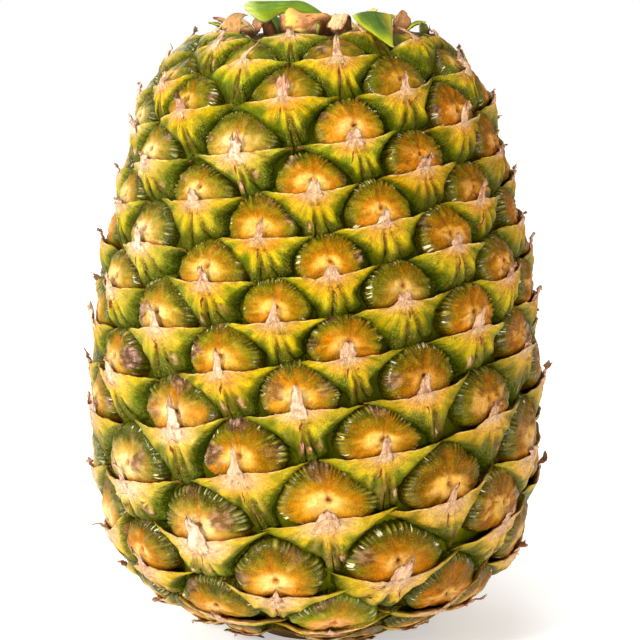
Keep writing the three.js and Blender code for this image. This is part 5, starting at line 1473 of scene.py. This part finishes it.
FRONT_LEAVES = {
    "crown_leaf_tan_curled": [
        [(-24.3, -16.2, 165.9), (-19.9, -18.5, 165.9)], [(-24.6, -15.1, 167.6), (-19.4, -17.4, 167.6)],
        [(-24.2, -13.2, 170.0), (-19.2, -15.1, 169.7)], [(-22.3, -10.6, 171.4), (-18.3, -12.6, 170.9)],
        [(-19.8, -7.8, 171.8), (-17.6, -9.5, 171.1)]],
    "crown_leaf_brown_flap": [
        [(-14.0, -5.2, 166.3), (-10.2, -6.0, 166.3)], [(-14.8, -7.4, 169.4), (-11.6, -8.2, 169.4)],
        [(-15.4, -10.5, 170.6), (-12.8, -11.2, 170.0)], [(-17.2, -12.9, 169.0), (-13.2, -13.7, 168.7)],
        [(-16.3, -15.1, 167.5), (-14.2, -15.7, 167.3)], [(-15.6, -16.3, 166.6), (-15.0, -16.6, 166.5)]],
    "crown_leaf_green_folded": [
        [(7.2, -6.9, 166.4), (2.6, -8.9, 166.2)], [(2.6, -6.2, 171.0), (0.6, -7.4, 168.6)],
        [(-3.2, -6.7, 174.6), (-3.8, -8.4, 170.8)], [(-8.0, -8.4, 174.8), (-8.8, -11.8, 171.3)],
        [(-13.5, -10.6, 174.7), (-12.9, -16.2, 168.9)], [(-16.9, -12.0, 174.6), (-15.8, -15.4, 170.0)],
        [(-18.9, -12.9, 173.9), (-18.5, -14.0, 172.1)]],
    "crown_leaf_brown_veined": [
        [(4.6, -11.4, 166.3), (0.4, -12.4, 166.2)], [(3.4, -12.3, 171.1), (1.1, -14.6, 168.9)],
        [(-0.3, -14.0, 171.2), (-0.6, -18.5, 168.4)], [(-4.0, -15.7, 171.4), (-1.8, -21.3, 166.9)],
        [(-6.6, -16.8, 172.8), (-3.9, -23.7, 166.4)], [(-8.0, -18.5, 171.7), (-8.0, -22.6, 167.8)]],
    "crown_leaf_tan_ragged": [
        [(5.2, -13.6, 166.3), (9.6, -13.0, 166.3)], [(4.2, -15.9, 170.8), (9.2, -15.6, 170.0)],
        [(2.4, -19.6, 168.4), (8.6, -19.3, 168.1)], [(3.3, -21.8, 167.0), (7.0, -21.8, 166.8)],
        [(4.4, -24.0, 166.2), (5.9, -23.8, 166.2)]],
    "crown_leaf_green_triangle": [
        [(11.4, -9.6, 166.3), (17.2, -9.0, 166.2)], [(11.0, -14.6, 168.9), (19.2, -14.0, 168.4)],
        [(9.4, -20.2, 170.8), (19.8, -19.0, 170.6)], [(11.0, -25.8, 168.6), (19.8, -24.1, 168.1)],
        [(14.7, -31.4, 165.9), (19.6, -29.1, 165.7)], [(18.7, -35.7, 162.7), (19.5, -35.3, 162.5)]],
    "crown_leaf_tan_striated": [
        [(20.5, -14.6, 166.2), (23.0, -15.2, 166.2)], [(20.4, -12.9, 170.0), (25.4, -12.9, 169.2)],
        [(21.9, -11.8, 171.7), (24.3, -11.8, 171.3)], [(22.8, -11.2, 172.4), (23.4, -11.2, 172.3)]],
    "crown_leaf_dark_green": [
        [(27.6, -12.6, 166.3), (30.3, -7.0, 166.4)], [(27.5, -11.4, 168.4), (30.1, -7.4, 168.0)],
        [(27.9, -10.1, 169.5), (29.3, -8.0, 168.9)]],
}
TANS = sheet_paint([(-1, (244, 212, 92)), (-0.2, (255, 222, 150)), (0.4, (255, 206, 134)), (1, (236, 158, 82))], (244, 218, 90), (104, 52, 16), (196, 140, 80), blot=(118, 58, 20), blots=0.9)
FLAP = sheet_paint([(-1, (206, 138, 84)), (0, (232, 172, 120)), (1, (238, 176, 116))], (140, 80, 36), (100, 52, 18), (136, 80, 40), blot=(120, 66, 28), blots=0.5)
FOLD = sheet_paint([(-1, (88, 122, 34)), (-0.35, (104, 140, 40)), (0.3, (134, 160, 16)), (0.7, (156, 174, 14)), (1, (96, 128, 20))], (190, 200, 110), (80, 92, 14), (110, 116, 40), blot=(150, 182, 118), blots=0.5)
VEINED = sheet_paint([(-1, (255, 192, 84)), (-0.3, (255, 184, 108)), (0.4, (246, 170, 104)), (1, (178, 102, 48))], (255, 214, 96), (90, 44, 12), (136, 76, 34), blot=(140, 74, 34), blots=0.7)
RAGGED = sheet_paint([(-1, (255, 204, 136)), (0, (255, 222, 166)), (1, (240, 182, 110))], (110, 58, 22), (84, 42, 12), (150, 94, 50), blot=(92, 44, 16), blots=1.0)
TRIANGLE = sheet_paint([(-1, (132, 148, 10)), (-0.5, (78, 108, 8)), (0.1, (66, 98, 10)), (0.6, (132, 136, 18)), (1, (206, 160, 54))], (186, 190, 28), (50, 70, 8), (96, 104, 30), blot=(50, 76, 8), blots=0.5)
STRIATED = sheet_paint([(-1, (232, 180, 104)), (0, (242, 194, 128)), (1, (200, 142, 74))], (166, 110, 56), (104, 56, 18), (140, 90, 46), blot=(110, 62, 26), blots=0.7)
DARKGREEN = sheet_paint([(-1, (96, 112, 26)), (0, (84, 104, 18)), (1, (120, 116, 30))], (176, 140, 80), (46, 40, 10), (90, 84, 30), blot=(60, 62, 12), blots=0.4)
FRONT_LOOK = {
    "crown_leaf_tan_curled": (TANS, TAN, "leaf_tan", dict(camber=0.9, ragged=0.25, end_jag=0.06)),
    "crown_leaf_brown_flap": (FLAP, DRY, "leaf_dry", dict(camber=0.4, ragged=0.3, end_jag=0.1)),
    "crown_leaf_green_folded": (FOLD, GREEN, "leaf_green", dict(camber=0.9, wrinkle=0.12)),
    "crown_leaf_brown_veined": (VEINED, DRY, "leaf_dry", dict(camber=0.9, wrinkle=0.15)),
    "crown_leaf_tan_ragged": (RAGGED, TAN, "leaf_tan", dict(camber=0.5, ragged=0.7, end_jag=0.22, wrinkle=0.45)),
    "crown_leaf_green_triangle": (TRIANGLE, GREEN, "leaf_green", dict(camber=0.9, wrinkle=0.15)),
    "crown_leaf_tan_striated": (STRIATED, TAN, "leaf_tan", dict(camber=0.5, ragged=0.3, end_jag=0.12)),
    "crown_leaf_dark_green": (DARKGREEN, GREEN, "leaf_green", dict(camber=0.5, ragged=0.3, end_jag=0.15)),
}
for i, (name, st) in enumerate(FRONT_LEAVES.items()):
    paint, mat, slot, kw = FRONT_LOOK[name]
    leaf(name, st, paint, mat, slot, 100 + i * 7, **kw)


def stub(bearing, radius, width, height, lean, curl, skew=0.0):
    b = math.radians(bearing)
    out = []
    for t, k in ((0, 1), (0.35, 1.04), (0.7, 0.86), (1, 0.5)):
        r = radius + lean * t + curl * t**3
        z = CROWN_BED["height"] + 0.3 + GAP + 0.15 + height * (t - 0.28 * t**3 * min(1, curl / 4))
        half, o = width * k / 2, skew * t
        out.append([(r * math.sin(b) + (s * half + o) * math.cos(b), -r * math.cos(b) + (s * half + o) * math.sin(b), z) for s in (-1, 1)])
    return out


BACK_LEAVES = [
    ("crown_leaf_green_right", 86, 24.5, 8.6, 4.0, 2.6, 3.0, 0.8, "green"), ("crown_leaf_dry_right", 112, 23.5, 8.2, 4.6, 2.4, 1.0, -0.6, "dry"),
    ("crown_leaf_green_back_a", 137, 24.0, 8.8, 7.4, 4.0, 5.0, 0.6, "green"), ("crown_leaf_tan_back_a", 161, 23.6, 7.8, 5.6, 2.0, 1.5, 1.0, "tan"),
    ("crown_leaf_dry_back_a", 184, 24.2, 8.2, 4.2, 3.0, 2.0, -0.8, "dry"), ("crown_leaf_green_back_b", 209, 22.6, 8.6, 6.8, 3.6, 4.4, -0.5, "green"),
    ("crown_leaf_tan_back_b", 232, 24.4, 8.0, 5.0, 2.6, 1.0, 0.7, "tan"), ("crown_leaf_dry_left", 256, 23.6, 8.2, 5.4, 3.0, 2.6, 0.4, "dry"),
    ("crown_leaf_green_left", 280, 24.6, 7.6, 3.6, 2.2, 2.6, -0.6, "green"), ("crown_leaf_inner_right", 72, 14.2, 6.6, 4.6, 2.2, 1.0, 0.5, "green"),
    ("crown_leaf_inner_back_a", 118, 13.4, 7.6, 8.2, 3.0, 2.0, -0.7, "tan"), ("crown_leaf_inner_back_b", 164, 13.8, 7.6, 5.6, 2.6, 1.4, 0.8, "green"),
    ("crown_leaf_inner_back_c", 210, 13.2, 7.4, 8.0, 3.2, 2.4, -0.4, "dry"), ("crown_leaf_inner_left", 252, 13.6, 6.8, 6.8, 2.6, 1.2, 0.6, "tan"),
]
LOOKS = dict(green=(TRIANGLE, GREEN, "leaf_green"), tan=(TANS, TAN, "leaf_tan"), dry=(FLAP, DRY, "leaf_dry"))
for i, (name, *q, look) in enumerate(BACK_LEAVES):
    paint, mat, slot = LOOKS[look]
    leaf(name, stub(*q), paint, mat, slot, 300 + i * 11, camber=0.9, ragged=0.2 if look != "green" else 0.08, end_jag=0.16, rows=30)


def basal(bearing, rise, width, length, lift):
    b = math.radians(bearing)
    out = []
    for t, k in ((0, 1), (0.4, 0.9), (0.75, 0.6), (1, 0.2)):
        w = rise + length * t
        half = width * k / 2 / float(meridian(w)[0])
        h = GAP + 0.45 + lift * t * t
        out.append([tuple(surface(q, w, h)) for q in (b - half, b + half)])
    return out


BASAL_BRACTS = [
    ("basal_bract_front", 24, -2.05, 12.5, 0.36, 0.7), ("basal_bract_front_left", -44, -2.0, 10.5, 0.33, 0.9),
    ("basal_bract_right", 78, -2.06, 11.0, 0.34, 0.5), ("basal_bract_back_right", 131, -2.0, 10.5, 0.33, 0.8),
    ("basal_bract_back", 187, -2.06, 12.0, 0.35, 0.6), ("basal_bract_back_left", 243, -2.02, 11.0, 0.34, 0.8),
]
HUSK = sheet_paint([(-1, (168, 116, 62)), (0, (190, 142, 90)), (1, (150, 98, 50))], (214, 172, 116), (84, 50, 22), (70, 40, 18), blot=(84, 46, 20), blots=0.5)
for i, (name, *q) in enumerate(BASAL_BRACTS):
    leaf(name, basal(*q), HUSK, DRY, "papery_tip", 600 + i * 9, camber=0.3, thickness=0.7, ragged=0.3, end_jag=0.15, sink=0, rows=30, floor=0.05)

# ------------------------------------------------------------------ floor, light and camera
def plane(name, size, z, colour, rough):
    me = bpy.data.meshes.new(name)
    me.from_pydata([(-size, -size, z), (size, -size, z), (size, size, z), (-size, size, z)], [], [(0, 1, 2, 3)])
    ob = bpy.data.objects.new(name, me)
    m, nt, p = nodes_of(name)
    p.inputs["Base Color"].default_value = (*linear(colour), 1)
    p.inputs["Roughness"].default_value = rough
    p.inputs["Specular IOR Level"].default_value = 0.1
    p.inputs["Emission Color"].default_value = (1, 1, 1, 1)
    # the sweep brightens with distance, so that it meets the white behind it
    tc = nt.nodes.new("ShaderNodeTexCoord").outputs["Object"]
    far = nt.nodes.new("ShaderNodeVectorMath")
    far.operation = "LENGTH"
    nt.links.new(tc, far.inputs[0])
    nt.links.new(mapped(nt, far.outputs["Value"], 0.3, 1.3, 0.40, 0.68), p.inputs["Emission Strength"])
    me.materials.append(m)
    bpy.context.scene.collection.objects.link(ob)
    return ob


plane("studio_floor", 6.0, 0.0, (246, 246, 244), 0.9)


def softbox(name, place, aim, size, watts, colour=(1, 1, 1)):
    data = bpy.data.lights.new(name, "AREA")
    data.shape = "RECTANGLE"
    data.size, data.size_y = size
    data.energy = watts
    data.color = colour
    ob = bpy.data.objects.new(name, data)
    ob.location = place
    d = Vector(aim) - Vector(place)
    ob.rotation_euler = d.to_track_quat("-Z", "Y").to_euler()
    bpy.context.scene.collection.objects.link(ob)
    return ob


AIM = (0, 0, 0.09)
softbox("key_softbox", (-0.85, -0.90, 0.66), AIM, (0.27, 0.27), 15.6, (1.0, 0.968, 0.92))
softbox("fill_softbox", (0.95, -0.72, 0.34), AIM, (0.5, 0.5), 3.0, (1.0, 0.96, 0.90))
softbox("left_softbox", (-1.15, -0.32, 0.22), AIM, (0.4, 0.4), 3.4)
softbox("front_softbox", (0.12, -1.25, 0.16), AIM, (0.4, 0.3), 5.0, (1.0, 0.975, 0.94))
softbox("top_softbox", (-0.1, -0.2, 1.15), AIM, (0.6, 0.6), 5)
softbox("back_softbox", (-0.5, 1.0, 0.6), AIM, (0.6, 0.6), 4)
world = bpy.data.worlds.new("studio")
world.use_nodes = True
wt = world.node_tree
seen = wt.nodes.new("ShaderNodeLightPath")
level = wt.nodes.new("ShaderNodeMapRange")
level.inputs["To Min"].default_value, level.inputs["To Max"].default_value = 0.42, 1.0
wt.links.new(seen.outputs["Is Camera Ray"], level.inputs["Value"])
wt.links.new(level.outputs[0], wt.nodes["Background"].inputs[1])
wt.nodes["Background"].inputs[0].default_value = (1, 1, 1, 1)
bpy.context.scene.world = world
bpy.context.scene.view_settings.view_transform = "Standard"
bpy.context.scene.view_settings.look = "None"

ELEVATION = math.radians(9.5)
DISTANCE = 0.462
cam_data = bpy.data.cameras.new("camera")
cam_data.sensor_width = 36
cam_data.lens = 36 * 1650 / 640
cam = bpy.data.objects.new("camera", cam_data)
up = (0, math.sin(ELEVATION), math.cos(ELEVATION))
cam.location = (
    0.00109,
    -DISTANCE * math.cos(ELEVATION) - 0.0007 * up[1],
    0.0879 + DISTANCE * math.sin(ELEVATION) - 0.0007 * up[2],
)
cam.rotation_euler = (math.pi / 2 - ELEVATION, 0, 0)
cam_data.clip_start, cam_data.clip_end = 0.05, 30
bpy.context.scene.collection.objects.link(cam)
bpy.context.scene.camera = cam

bpy.context.view_layer.update()
